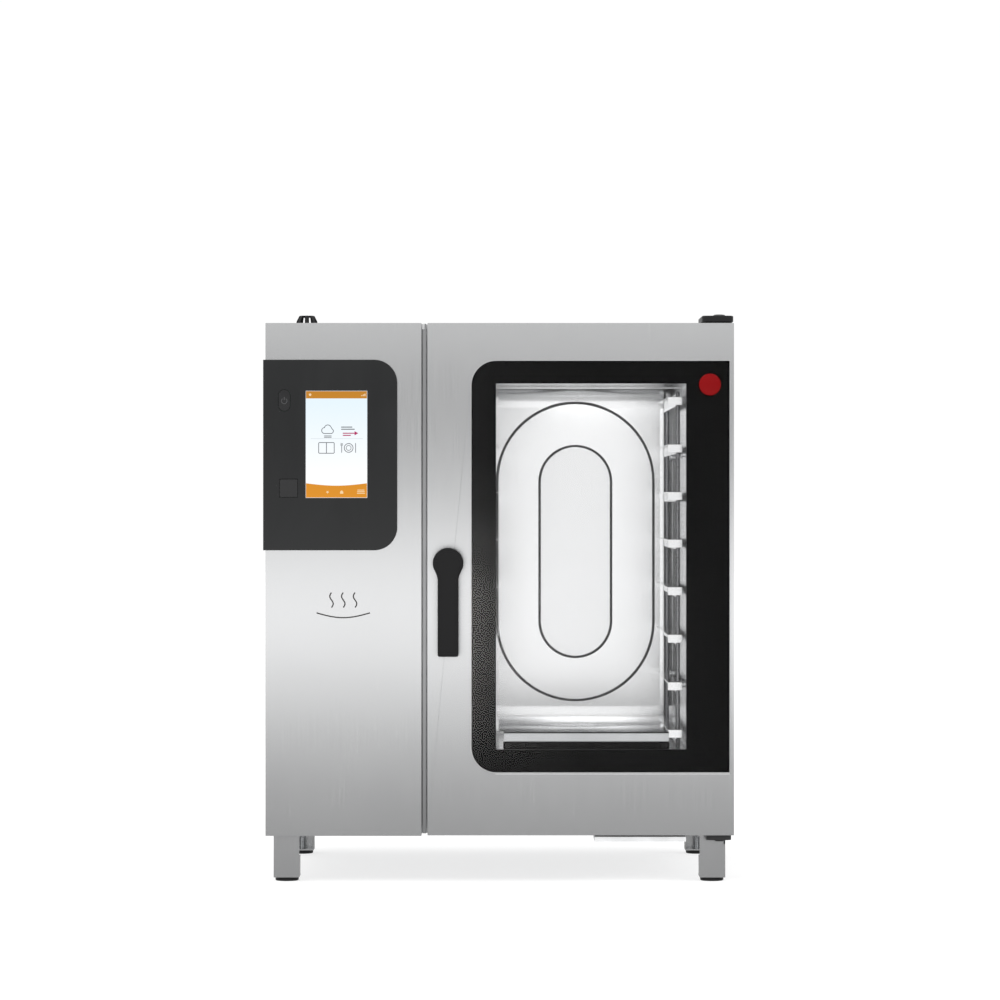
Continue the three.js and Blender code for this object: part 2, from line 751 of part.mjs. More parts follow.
const ringPlate = (outer, inner, y0, y1) => cut(frontPlate(outer, y0, y1), frontPlate(inner, y0 - 1, y1 + 1));
piece(
  cabinet,
  "door_seal",
  LOOKS.rubber,
  ringPlate(
    rectangle(
      MOUTH_LEFT - SEAL_WIDTH,
      CH.right + SEAL_WIDTH,
      CH.low - SEAL_WIDTH,
      CH.high + SEAL_WIDTH,
      evenly(SEAL_WIDTH),
    ),
    rectangle(MOUTH_LEFT, CH.right, CH.low, CH.high),
    DOOR.back + GAP,
    FRAME_Y - GAP,
  ),
);

const CATCH = { left: -131, right: -112, low: 622, high: 672 };
piece(
  cabinet,
  "door_catch",
  LOOKS.galvanised,
  join(
    block(CATCH.left, CATCH.left + 6, -286, FRAME_Y - GAP, CATCH.low, CATCH.high),
    block(CATCH.left, CATCH.right, -277, FRAME_Y - GAP, CATCH.low, CATCH.high),
  ),
);

// ---------------------------------------------------------------- drip tray

const TRAY = { left: 178, right: 349, front: -334, rear: -240, low: 77, high: 86, wall: 1.5 };
piece(
  cabinet,
  "drip_tray",
  LOOKS.steel,
  join(
    cut(
      block(TRAY.left, TRAY.right, TRAY.front, TRAY.rear, TRAY.low, TRAY.high),
      block(
        TRAY.left + TRAY.wall,
        TRAY.right - TRAY.wall,
        TRAY.front + TRAY.wall,
        TRAY.rear - TRAY.wall,
        TRAY.low + TRAY.wall,
        TRAY.high + 5,
      ),
    ),
    block(TRAY.left, TRAY.right, TRAY.rear - TRAY.wall, TRAY.rear, TRAY.high - 1, BODY_LOW - GAP),
  ),
);

// ---------------------------------------------------------------- legs and feet

// The legs stand under the four corners; `outward` and `forward` are +1 or -1.
const LEG_TOP = BODY_LOW - GAP;
const LEG_MIDDLE = (LEG.inner + LEG.outer) / 2;
const CORNERS = [
  ["front_left", -1, 1],
  ["front_right", 1, 1],
  ["rear_left", -1, -1],
  ["rear_right", 1, -1],
];
const bracketRoom = block(
  BRACKET_LOW.left - 5,
  BRACKET_LOW.right + 5,
  BRACKET_LOW.front,
  BRACKET_LOW.rear + 5,
  lowBracketTop - BRACKET_LOW.thick - GAP,
  LEG_TOP + 5,
);
const nutRoom = block(HINGE.x - 14, HINGE.x + 14, HINGE.y - 14, HINGE.y + 14, 70, LEG_TOP + 5);

function leg(outward, forward) {
  const half = (LEG.outer - LEG.inner) / 2;
  // About the leg's own middle, its front sheet towards -Y and its outer side towards +X.
  const front = block(-half, half, 0, LEG.sheet, LEG.low, LEG_TOP);
  const foot = block(-half, half, 0, LEG.deep, LEG.low, LEG.low + LEG.sheet);
  const top = block(-half, half, 0, LEG.deep, LEG_TOP - LEG.sheet, LEG_TOP);
  // A side that reaches up to the height given.
  const side = (height) => {
    const shape = new THREE.Shape();
    shape.moveTo(0, LEG.low);
    shape.lineTo(LEG.deep - LEG.taper, LEG.low);
    shape.lineTo(LEG.deep - (LEG.taper * (LEG_TOP - height)) / (LEG_TOP - LEG.low), height);
    shape.lineTo(0, height);
    return shape;
  };
  const whole = cut(
    join(
      front,
      foot,
      top,
      sidePlate(side(LEG_TOP), half - LEG.sheet, half),
      sidePlate(side(LEG.lip), -half, -half + LEG.sheet),
    ),
    bar("z", FOOT.bore, 0, LEG.low + 10, [0, LEG.deep / 2]),
  );
  const turn = new THREE.Matrix4().makeScale(outward, forward, 1);
  const placed = geometryOf(whole).applyMatrix4(turn);
  const y = forward > 0 ? LEG.frontY : LEG.rearY;
  placed.translate(outward * LEG_MIDDLE, y, 0);
  const mirrored = outward * forward < 0;
  if (mirrored) placed.setIndex(new THREE.BufferAttribute(placed.index.array.slice().reverse(), 1));
  return solid(placed);
}

const footGeometry = join(
  bar("z", FOOT.radius, 0, LEG.low - GAP, [0, 0]),
  bar("z", FOOT.spindle, 1, FOOT.spindleTop, [0, 0], 16),
);
for (const [corner, outward, forward] of CORNERS) {
  let legSolid = leg(outward, forward);
  if (corner === "front_right") legSolid = cut(legSolid, bracketRoom, nutRoom);
  piece(cabinet, "leg_" + corner, LOOKS.steel, legSolid);
  const legY = forward > 0 ? LEG.frontY + LEG.deep / 2 : LEG.rearY - LEG.deep / 2;
  const foot = groupIn(cabinet, outward * LEG_MIDDLE, legY, 0);
  piece(foot, "foot_" + corner, LOOKS.blackPlastic, footGeometry);
}

// ---------------------------------------------------------------- door

const door = groupIn(group);
const DOOR_LINER = 3.7; // from the back of the frame to the back of the door
const frameBack = DOOR.back - DOOR_LINER - GAP;
const shaftAt = [HANDLE.x, HANDLE.z];
const paneOutline = (spread) =>
  rectangle(
    PANE.left - spread,
    PANE.right + spread,
    PANE.low - spread,
    PANE.high + spread,
    leftOnly(PANE.corner + spread),
  );

// A folded steel tray open at the back, with solid blocks for the hinge pins and the handle's shaft.
const inset = DOOR.wall;
const roomLow = DOOR.low + inset;
const roomHigh = DOOR.high - inset;
const roomFront = FACE_Y + inset;
const pocket = cut(
  block(DOOR.left + inset, DOOR.right - inset, roomFront, frameBack + 5, roomLow, roomHigh),
  frontPlate(paneOutline(inset), roomFront - 5, frameBack + 10),
  block(HINGE.x - 22, DOOR.right, roomFront - 5, frameBack + 10, roomLow - 5, roomLow + PIN_LENGTH + 6),
  block(HINGE.x - 22, DOOR.right, roomFront - 5, frameBack + 10, roomHigh - PIN_LENGTH - 6, roomHigh + 5),
  bar("y", HANDLE.boss, roomFront - 5, frameBack + 10, shaftAt),
);
piece(
  door,
  "door_frame",
  LOOKS.steel,
  cut(
    block(DOOR.left, DOOR.right, FACE_Y, frameBack, DOOR.low, DOOR.high),
    pocket,
    frontPlate(paneOutline(0), FACE_Y - 5, frameBack + 5),
    bar("z", HINGE.bore, DOOR.low - 5, DOOR.low + PIN_LENGTH + 2, [HINGE.x, HINGE.y]),
    bar("z", HINGE.bore, DOOR.high - PIN_LENGTH - 2, DOOR.high + 5, [HINGE.x, HINGE.y]),
    bar("y", HANDLE.shaft + 0.5, FACE_Y - 5, frameBack + 5, shaftAt),
  ),
);

const paneFront = FACE_Y + PANE.recess;
piece(
  door,
  "door_outer_glass",
  LOOKS.clearGlass,
  frontPlate(paneOutline(-GAP), paneFront, paneFront + PANE.thick),
);
const fritFront = paneFront + PANE.thick + GAP;
const windowAt = (spread) =>
  rectangle(WINDOW.left - spread, WINDOW.right + spread, WINDOW.low - spread, WINDOW.high + spread);
const FRIT_THICK = 1.2;
piece(
  door,
  "door_glass_frit",
  LOOKS.blackGlass,
  ringPlate(paneOutline(-GAP), windowAt(0), fritFront, fritFront + FRIT_THICK),
);

piece(
  door,
  "door_inner_frame",
  LOOKS.steel,
  cut(
    ringPlate(
      rectangle(DOOR.left + 1, DOOR.right - 1, DOOR.low + 1, DOOR.high - 1),
      windowAt(6),
      DOOR.back - DOOR_LINER,
      DOOR.back,
    ),
    bar("y", HANDLE.shaft + 0.5, DOOR.back - 10, DOOR.back + 5, shaftAt),
  ),
);
const INNER_PANE = { spread: 14, thick: 5 };
const innerPaneBack = DOOR.back - DOOR_LINER - GAP;
piece(
  door,
  "door_inner_glass",
  LOOKS.clearGlass,
  frontPlate(windowAt(INNER_PANE.spread), innerPaneBack - INNER_PANE.thick, innerPaneBack),
);
const RAIL = { left: 7, right: 319, low: 248, high: 262, deep: 12 };
const railBack = innerPaneBack - INNER_PANE.thick - GAP;
piece(
  door,
  "inner_glass_rail",
  LOOKS.blackPlastic,
  block(RAIL.left, RAIL.right, railBack - RAIL.deep, railBack, RAIL.low, RAIL.high),
);

const badge = groupIn(door, BADGE.x, paneFront - GAP, BADGE.z);
badge.rotation.x = Math.PI / 2;
piece(
  badge,
  "door_badge",
  LOOKS.red,
  turned([
    [0, 0],
    [BADGE.radius, 0],
    [BADGE.radius, 2],
    [BADGE.radius - 4, 3.4],
    [0, 4],
  ]),
);

// ---------------------------------------------------------------- handle

// The grip's origin is on the shaft's axis, on the door's face.
const handle = groupIn(door, HANDLE.x, FACE_Y, HANDLE.z);
const gripFront = HANDLE.front - FACE_Y;
const GRIP_THICK = 28;
const NECK = 46; // how far below the shaft the lever reaches its even width
const halfGrip = HANDLE.grip / 2;
const taper = new THREE.Shape();
taper.moveTo(-HANDLE.boss + 1, 0);
taper.lineTo(-halfGrip, -NECK);
taper.lineTo(-halfGrip, -HANDLE.reach);
taper.lineTo(halfGrip, -HANDLE.reach);
taper.lineTo(halfGrip, -NECK);
taper.lineTo(HANDLE.boss - 1, 0);
piece(
  handle,
  "door_handle",
  LOOKS.blackPlastic,
  cut(
    join(
      bar("y", HANDLE.boss, gripFront, -GAP, [0, 0]),
      frontPlate(taper, gripFront, gripFront + GRIP_THICK),
    ),
    bar("y", HANDLE.shaft + GAP, -30, 5, [0, 0]),
  ),
);
const SHAFT_END = -279 - FACE_Y;
piece(handle, "handle_shaft", LOOKS.galvanised, bar("y", HANDLE.shaft, -28, SHAFT_END, [0, 0]));
const CAM = { front: -286.5 - FACE_Y, back: -279.5 - FACE_Y, half: 11, reach: 44 };
piece(
  handle,
  "latch_cam",
  LOOKS.galvanised,
  cut(
    join(
      bar("y", HANDLE.shaft + 7, CAM.front, CAM.back, [0, 0]),
      block(-CAM.half, CAM.half, CAM.front, CAM.back, 0, CAM.reach),
    ),
    bar("y", HANDLE.shaft + GAP, CAM.front - 5, CAM.back + 5, [0, 0]),
  ),
);

// ---------------------------------------------------------------- tray racks

// Two uprights and angle rails: each ledge points at the other rack, and its web hangs down at the uprights.
function rack(name, uprightX, inward) {
  const top = RACK.firstLedge + RACK.pitch * (RACK.levels - 1) + RACK.aboveTopLedge;
  const uprights = [RACK.front, RACK.rear].map((y) =>
    bar("z", RACK.rod, CH.low + GAP, top, [uprightX, y], 12),
  );
  const webX = uprightX + inward * (RACK.rod - 0.5);
  const [y0, y1] = [RACK.front - RACK.overhang, RACK.rear + RACK.overhang];
  // A strip from the web's outer face as far as reach towards the other rack.
  const strip = (reach, z0, z1) => {
    const tip = webX + inward * reach;
    return block(Math.min(webX, tip), Math.max(webX, tip), y0, y1, z0, z1);
  };
  const rails = [];
  for (let level = 0; level < RACK.levels; level++) {
    const z = RACK.firstLedge + RACK.pitch * level;
    rails.push(strip(RACK.sheet, z - RACK.web, z), strip(RACK.ledge, z - RACK.sheet, z));
  }
  piece(group, name, LOOKS.chamberSteel, join(...uprights, ...rails));
}
rack("rack_right", RACK.rightX, -1);
rack("rack_left", RACK.leftX, 1);

export default group;
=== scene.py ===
"""The combi steamer oven's visual model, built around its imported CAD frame.

Shapes are written in millimetres in the CAD frame: +X right, +Y to the rear, +Z up, the floor at Z = 0.
"""
import json
import math

import bmesh
import bpy
from mathutils import Matrix, Vector


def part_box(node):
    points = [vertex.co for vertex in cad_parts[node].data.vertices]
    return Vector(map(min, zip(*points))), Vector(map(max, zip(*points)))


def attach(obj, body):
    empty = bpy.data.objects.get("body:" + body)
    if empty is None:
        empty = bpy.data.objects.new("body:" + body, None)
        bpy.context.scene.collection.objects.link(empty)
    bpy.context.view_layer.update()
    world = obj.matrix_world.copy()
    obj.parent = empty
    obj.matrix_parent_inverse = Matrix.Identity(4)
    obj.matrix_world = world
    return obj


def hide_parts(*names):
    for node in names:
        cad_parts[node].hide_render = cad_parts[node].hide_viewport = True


MM = 0.001
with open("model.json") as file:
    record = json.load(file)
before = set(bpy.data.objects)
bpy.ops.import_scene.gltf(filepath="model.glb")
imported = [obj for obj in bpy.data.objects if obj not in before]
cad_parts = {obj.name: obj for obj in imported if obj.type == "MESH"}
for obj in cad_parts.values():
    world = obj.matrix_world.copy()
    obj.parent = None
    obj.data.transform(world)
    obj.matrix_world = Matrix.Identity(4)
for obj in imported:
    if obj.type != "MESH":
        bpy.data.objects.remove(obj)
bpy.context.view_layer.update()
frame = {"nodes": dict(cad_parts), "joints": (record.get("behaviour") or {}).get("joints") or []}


def span(node):
    """Lowest and highest corner of a CAD node, in millimetres."""
    low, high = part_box(node)
    return low / MM, high / MM


def middle_of(node):
    """X, Y and Z of a CAD node's middle, in millimetres."""
    return [(low + high) / 2 for low, high in zip(*span(node))]


# --- outlines, in a plane

def arc(u, v, radius, start, end, steps):
    """Points on a circle's arc; the angles are in degrees."""
    angles = [math.radians(start + (end - start) * i / steps) for i in range(steps + 1)]
    return [(u + radius * math.cos(a), v + radius * math.sin(a)) for a in angles]


def circle(u, v, radius, steps):
    return arc(u, v, radius, 0, 360, steps)[:-1]


def rectangle(left, right, low, high, low_left=0.0, low_right=0.0, high_right=0.0, high_left=0.0, steps=8):
    """An anticlockwise rectangle with its own radius at each corner."""
    corners = (
        (left, low, 1, 1, low_left, 180),
        (right, low, -1, 1, low_right, 270),
        (right, high, -1, -1, high_right, 0),
        (left, high, 1, -1, high_left, 90),
    )
    points = []
    for u, v, du, dv, radius, start in corners:
        if radius > 0:
            points += arc(u + du * radius, v + dv * radius, radius, start, start + 90, steps)
        else:
            points.append((u, v))
    return points


def rounded(left, right, low, high, radius, steps=8):
    return rectangle(left, right, low, high, radius, radius, radius, radius, steps)


def stadium(u, v, half, tall, steps=20):
    """A tall oval with straight sides; half its width and half its height."""
    return arc(u, v + tall - half, half, 0, 180, steps) + arc(u, v - tall + half, half, 180, 360, steps)


def hole(outline):
    return outline[::-1]


def shifted(outline, distance, closed=True):
    """The line moved to its left by distance, with mitred corners."""
    count = len(outline)
    moved = []
    for i, (u, v) in enumerate(outline):
        before = outline[(i - 1) % count] if closed or i else None
        after = outline[(i + 1) % count] if closed or i < count - 1 else None
        sides = []
        for a, b in ((before, (u, v)), ((u, v), after)):
            if a is not None and b is not None:
                direction = (Vector(b) - Vector(a)).normalized()
                sides.append(Vector((-direction.y, direction.x)))
        normal = sum(sides, Vector((0, 0))).normalized()
        reach = distance / max(0.35, normal.dot(sides[0]))
        moved.append((u + normal.x * reach, v + normal.y * reach))
    return moved


def stroke(points, width, closed=False):
    """The outlines of a drawn line of that width."""
    left, right = (shifted(points, side * width / 2, closed) for side in (1, -1))
    if not closed:
        return [right + left[::-1]]
    area = sum(a[0] * b[1] - b[0] * a[1] for a, b in zip(points, points[1:] + points[:1]))
    return [right, hole(left)] if area > 0 else [hole(left), right]


# --- closed shapes

def bridge(bm, rings):
    """Faces from each ring of vertices to the next; a ring may be a single point."""
    for a, b in zip(rings, rings[1:]):
        count = max(len(a), len(b))
        for i in range(count):
            j = (i + 1) % count
            corners = (a[i % len(a)], a[j % len(a)], b[j % len(b)], b[i % len(b)])
            corners = list(dict.fromkeys(corners))
            if len(corners) > 2:
                bm.faces.new(corners)


def ring_at(bm, middle, side, other, reaches):
    """A ring of vertices round middle in the plane of side and other, one for each reach."""
    ring = []
    for i, reach in enumerate(reaches):
        angle = 2 * math.pi * i / len(reaches)
        ring.append(bm.verts.new(middle + (side * math.cos(angle) + other * math.sin(angle)) * reach))
    return ring


PLANES = {  # what an outline's u, v and its thickness become in X, Y, Z
    "top": Matrix.Identity(3),
    "front": Matrix(((1, 0, 0), (0, 0, -1), (0, 1, 0))),
    "side": Matrix(((0, 0, 1), (1, 0, 0), (0, 1, 0))),
}


def plate(outlines, plane, low, high, edge=0.0, steps=2, into=None):
    """A flat plate with rounded edges; the outer outline is anticlockwise and the holes are clockwise."""
    bm = into or bmesh.new()
    if plane == "front":
        low, high = -high, -low
    levels = [(0.0, low), (0.0, high)]
    if edge > 0:
        turns = [math.pi / 2 * i / steps for i in range(steps + 1)]
        first = [(edge * (1 - math.sin(a)), edge * (1 - math.cos(a))) for a in turns]
        levels = [(i, low + h) for i, h in first] + [(i, high - h) for i, h in first[::-1]]
    caps = ([], [])
    for outline in outlines:
        rings = []
        for inset, height in levels:
            points = shifted(outline, inset) if inset else outline
            rings.append([bm.verts.new(PLANES[plane] @ Vector((u, v, height))) for u, v in points])
        bridge(bm, rings)
        for cap, ring in zip(caps, (rings[0], rings[-1])):
            cap.extend(bm.edges.get((ring[i - 1], ring[i])) for i in range(len(ring)))
    for cap in caps:
        bmesh.ops.triangle_fill(bm, use_beauty=True, use_dissolve=True, edges=cap)
    return bm


def block(low, high, edge=0.6, steps=2, into=None):
    """A box with rounded edges."""
    corner = max(edge, 0.01)
    outline = rounded(low[0], high[0], low[1], high[1], corner, max(2, steps))
    return plate([outline], "top", low[2], high[2], edge, steps, into)


def lathe(profile, axis, centre, steps, into=None, star=None):
    """Turns (radius, height) points about an axis through centre. star maps a point's number to a ripple."""
    bm = into or bmesh.new()
    direction = Vector([float(axis[-1] == name) for name in "xyz"])
    if axis.startswith("-"):
        direction = -direction
    side = direction.orthogonal().normalized()
    other = direction.cross(side)
    rings = []
    for number, (radius, height) in enumerate(profile):
        middle = Vector(centre) + direction * height
        ripple = (star or {}).get(number, 0.0)
        reaches = [radius * (1 + ripple * (1 if i % 4 < 2 else -1)) for i in range(steps)]
        rings.append(ring_at(bm, middle, side, other, reaches) if radius else [bm.verts.new(middle)])
    bridge(bm, rings)
    if profile[0] == profile[-1]:
        bmesh.ops.remove_doubles(bm, verts=rings[0] + rings[-1], dist=1e-4)
    elif len(rings[0]) > 1 and len(rings[-1]) > 1:
        bm.faces.new(rings[0])
        bm.faces.new(rings[-1][::-1])
    return bm


def wire(points, radius, sides=12, into=None):
    """A round rod along the points, with flat ends."""
    bm = into or bmesh.new()
    path = [Vector(p) for p in points]
    side = (path[1] - path[0]).normalized().orthogonal().normalized()
    rings = []
    for before, point, after in zip(path[:1] + path, path, path[1:] + path[-1:]):
        tangent = (after - before).normalized()
        side = (side - tangent * side.dot(tangent)).normalized()
        rings.append(ring_at(bm, point, side, tangent.cross(side), [radius] * sides))
    bridge(bm, rings)
    bm.faces.new(rings[0][::-1])
    bm.faces.new(rings[-1])
    return bm


SHARP = math.radians(38)


def placed(name, data):
    """A new object in the scene."""
    obj = bpy.data.objects.new(name, data)
    bpy.context.scene.collection.objects.link(obj)
    return obj


def piece(name, bm, material, *nodes, body="cabinet"):
    """A finished object: it rides on body and stands for the CAD nodes named."""
    bmesh.ops.recalc_face_normals(bm, faces=bm.faces)
    for face in bm.faces:
        face.smooth = True
    for edge in bm.edges:
        edge.smooth = edge.calc_face_angle(0.0) < SHARP
    mesh = bpy.data.meshes.new(name)
    bm.to_mesh(mesh)
    bm.free()
    mesh.transform(Matrix.Scale(MM, 4))
    mesh.materials.append(material)
    obj = placed(name, mesh)
    weighted = obj.modifiers.new("flat faces", "WEIGHTED_NORMAL")
    weighted.keep_sharp = True
    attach(obj, body)
    if nodes:
        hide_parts(*nodes)


def printed(name, groups, material, face, raised, sunk, body="cabinet"):
    """Thin printed shapes on a face that looks towards -Y; each group is one outline and its holes."""
    bm = bmesh.new()
    for outlines in groups:
        plate(outlines, "front", face - raised, face + sunk, into=bm)
    piece(name, bm, material, body=body)


def keep(node, material, edge, steps=2):
    """A CAD node that is shown as it is, with softened edges and its material."""
    obj = frame["nodes"][node]
    obj.data.materials.clear()
    obj.data.materials.append(material)
    if edge:
        flat = obj.modifiers.new("whole faces", "DECIMATE")
        flat.decimate_type = "DISSOLVE"
        flat.angle_limit = math.radians(1)
        soft = obj.modifiers.new("soft edges", "BEVEL")
        soft.width = edge * MM
        soft.segments = steps
        soft.limit_method = "ANGLE"
        soft.angle_limit = math.radians(40)
        soft.harden_normals = True


# --- materials

def add(tree, kind, values=None, **settings):
    """A shader node. values maps an input's name or number to a number, a colour or the output it takes."""
    node = tree.nodes.new(kind)
    for key, value in settings.items():
        setattr(node, key, value)
    for key, value in (values or {}).items():
        if isinstance(value, bpy.types.NodeSocket):
            tree.links.new(value, node.inputs[key])
        else:
            node.inputs[key].default_value = value
    return node


def place_in(tree):
    return add(tree, "ShaderNodeTexCoord").outputs["Object"]


def principled(name, slot, color, roughness, metallic=0.0, values=None):
    material = bpy.data.materials.new(name)
    material.use_nodes = True
    material["slot"] = slot
    shader = material.node_tree.nodes["Principled BSDF"]
    shader.inputs["Base Color"].default_value = (*color, 1)
    shader.inputs["Roughness"].default_value = roughness
    shader.inputs["Metallic"].default_value = metallic
    for key, value in (values or {}).items():
        shader.inputs[key].default_value = value
    material.diffuse_color = (*color, 1)
    return material, material.node_tree, shader


def noise(tree, scale, detail, roughness=0.5, distortion=0.0):
    """Noise over the object; scale is one frequency per metre, or one for each of X, Y and Z."""
    place = place_in(tree)
    if isinstance(scale, tuple):
        place = add(tree, "ShaderNodeMapping", {"Vector": place, "Scale": scale}).outputs[0]
        scale = 1.0
    values = {"Vector": place, "Scale": scale, "Detail": detail}
    values.update({"Roughness": roughness, "Distortion": distortion})
    return add(tree, "ShaderNodeTexNoise", values).outputs[0]


def spread(tree, value, low, high, start=0.3, end=0.7):
    """The noise's usual range turned into low to high."""
    values = {0: value, 1: start, 2: end, 3: low, 4: high}
    return add(tree, "ShaderNodeMapRange", values).outputs[0]


def tint(tree, value, dark, light):
    values = {0: value, 6: (*dark, 1), 7: (*light, 1)}
    return add(tree, "ShaderNodeMix", values, data_type="RGBA").outputs[2]


def multiplied(tree, first, second):
    values = {0: 1.0, 6: first, 7: second}
    return add(tree, "ShaderNodeMix", values, data_type="RGBA", blend_type="MULTIPLY").outputs[2]


def bump(tree, shader, height, distance, strength, under=None):
    """Relief on the surface; distance is in millimetres."""
    values = {"Height": height, "Distance": distance * MM, "Strength": strength}
    if under is not None:
        values["Normal"] = under
    relief = add(tree, "ShaderNodeBump", values).outputs[0]
    tree.links.new(relief, shader.inputs["Normal"])
    return relief


def shade(color, factor):
    return tuple(min(1.0, channel * factor) for channel in color)


def paint(tree, shader, value, color, dark, light):
    """Base colour: the colour times dark where value is 0, and times light where it is 1."""
    mixed = tint(tree, value, shade(color, dark), shade(color, light))
    tree.links.new(mixed, shader.inputs["Base Color"])


def rub(tree, shader, value, low, high):
    """Roughness from low to high over value's usual range."""
    tree.links.new(spread(tree, value, low, high), shader.inputs["Roughness"])


def brushed(name, slot, color, roughness, grain, wave=0.0):
    """Brushed sheet: long fine scratches, faint cloudy patches, and a soft waviness in thin sheet."""
    material, tree, shader = principled(name, slot, color, roughness, 1.0)
    scratches = noise(tree, grain, 4.0, 0.62)
    clouds = noise(tree, 5.0, 3.0, 0.6, 0.4)
    base = tint(tree, spread(tree, scratches, 0, 1), shade(color, 0.965), shade(color, 1.03))
    smudged = tint(tree, spread(tree, clouds, 0, 1), (0.985, 0.985, 0.987), (1, 1, 1))
    tree.links.new(multiplied(tree, base, smudged), shader.inputs["Base Color"])
    fine = spread(tree, scratches, roughness - 0.03, roughness + 0.03)
    total = add(tree, "ShaderNodeMath", {0: fine, 1: spread(tree, clouds, -0.01, 0.01)}, operation="ADD")
    tree.links.new(total.outputs[0], shader.inputs["Roughness"])
    relief = bump(tree, shader, scratches, 0.012, 0.3)
    if wave:
        bump(tree, shader, noise(tree, 7.0, 1.0), wave, 1.0, relief)
    return material


def plain_metal(name, slot, color, roughness, spangle=0.0):
    """Pressed, cast or plated metal with a mottled skin."""
    material, tree, shader = principled(name, slot, color, roughness, 1.0)
    grain = noise(tree, 420.0, 4.0, 0.6)
    paint(tree, shader, noise(tree, 22.0, 3.0), color, 0.88, 1.08)
    rub(tree, shader, grain, roughness - 0.08, roughness + 0.1)
    bump(tree, shader, grain, 0.03 + spangle, 0.4)
    return material


def moulded(name, slot, color, roughness, pebble=900.0, depth=0.03, values=None):
    """Moulded plastic or rubber with a fine pebbled skin and slight fading."""
    material, tree, shader = principled(name, slot, color, roughness, 0.0, values)
    fading = noise(tree, 30.0, 3.0)
    cells = add(tree, "ShaderNodeTexVoronoi", {"Vector": place_in(tree), "Scale": pebble})
    paint(tree, shader, fading, color, 0.85, 1.25)
    rub(tree, shader, fading, roughness - 0.05, roughness + 0.06)
    bump(tree, shader, cells.outputs["Distance"], depth, 0.5)
    return material


def printed_glass(name, color, roughness, level):
    """Glass printed black on its back: a glossy face with faint wiping marks. level is its specular level."""
    values = {"Specular IOR Level": level}
    material, tree, shader = principled(name, "black_glass", color, roughness, 0.0, values)
    wiped = noise(tree, (14.0, 14.0, 5.0), 4.0, 0.6, 0.6)
    rub(tree, shader, wiped, roughness * 0.7, roughness * 1.5)
    paint(tree, shader, wiped, color, 0.9, 1.15)
    bump(tree, shader, noise(tree, 3.0, 1.0), 0.05, 0.5)
    return material


def clear_glass(name):
    values = {"Transmission Weight": 1.0, "IOR": 1.2}
    material, tree, shader = principled(name, "clear_glass", (0.99, 0.99, 0.99), 0.0, 0.0, values)
    rub(tree, shader, noise(tree, (9.0, 9.0, 4.0), 3.0, 0.6, 0.5), 0.0, 0.025)
    return material


def glowing(name, slot, low, high, strength, z0=0.0, z1=1.0):
    """A lit surface with fine rows, fading from low at height z0 to high at height z1."""
    material, tree, shader = principled(name, slot, shade(low, 0.02), 0.3)
    height = add(tree, "ShaderNodeSeparateXYZ", {0: place_in(tree)}).outputs[2]
    lit = tint(tree, spread(tree, height, 0, 1, z0 * MM, z1 * MM), low, high)
    rows = spread(tree, noise(tree, (1500.0, 1.0, 1500.0), 1.0), 0, 1)
    texture = tint(tree, rows, (0.985, 0.985, 0.985), (1, 1, 1))
    tree.links.new(multiplied(tree, lit, texture), shader.inputs["Emission Color"])
    shader.inputs["Emission Strength"].default_value = strength
    return material


def woolly(name, slot, color):
    material, tree, shader = principled(name, slot, color, 0.95)
    fibres = noise(tree, (260.0, 90.0, 420.0), 6.0, 0.75, 1.5)
    paint(tree, shader, spread(tree, fibres, 0, 1), color, 0.5, 1.2)
    bump(tree, shader, fibres, 1.2, 0.8)
    return material


def circuit(name, slot, color):
    material, tree, shader = principled(name, slot, color, 0.5)
    values = {"Vector": place_in(tree), "Rotation": (math.pi / 2, 0, 0)}
    turned = add(tree, "ShaderNodeMapping", values).outputs[0]
    tracks = add(tree, "ShaderNodeTexBrick", {"Vector": turned, "Scale": 90.0, "Mortar Size": 0.03})
    paint(tree, shader, tracks.outputs["Fac"], color, 1.0, 2.2)
    bump(tree, shader, tracks.outputs["Fac"], 0.08, 0.6)
    return material


def cool(grey, step=0.005):
    """A grey that leans slightly to blue."""
    return (grey, grey + step, grey + 2 * step)


def dim(level):
    """A surface that mirrors less than its kind usually does."""
    return {"Specular IOR Level": level}


UPRIGHT = (1500.0, 1500.0, 9.0)  # grain along Z
LENGTHWISE = (1500.0, 9.0, 1500.0)  # grain along Y
ACROSS = (9.0, 1500.0, 1500.0)  # grain along X

steel = brushed("brushed_steel_upright", "casing_steel", cool(0.72), 0.24, UPRIGHT, 0.2)
steel_roof = brushed("brushed_steel_lengthwise", "casing_steel", cool(0.72), 0.26, LENGTHWISE, 0.2)
# A darker copy of the casing steel for the edge trim: the trim is a real part, its darker colour is painted
# shade of the gap.
shaded_trim_steel = brushed("casing_steel_shaded", "casing_steel", cool(0.42), 0.34, UPRIGHT)
bright = brushed("chamber_steel", "chamber_steel", cool(0.86), 0.24, UPRIGHT, 0.5)
bright_floor = brushed("chamber_steel_floor", "chamber_steel", cool(0.86), 0.22, LENGTHWISE, 0.5)
# A darker copy of the chamber steel for the right wall: painted shade.
shaded_wall_steel = brushed("chamber_steel_side_shaded", "chamber_steel", cool(0.66), 0.20, UPRIGHT, 0.9)
# A darker copy of the chamber steel: painted shade on the baffle's raised cover.
cover_steel_shaded = brushed("chamber_steel_cover_shaded", "chamber_steel", cool(0.78), 0.24, UPRIGHT, 0.3)
wire_steel = brushed("rack_steel", "chamber_steel", cool(0.88), 0.16, LENGTHWISE)
pressed = brushed("pressed_aluminium", "aluminium", cool(0.78, 0.01), 0.3, ACROSS)
machined = plain_metal("machined_steel", "machined_steel", cool(0.56, 0.01), 0.36)
screw_steel = plain_metal("screw_steel", "machined_steel", cool(0.68, 0.01), 0.28)
element_steel = plain_metal("element_steel", "machined_steel", (0.42, 0.41, 0.40), 0.42)
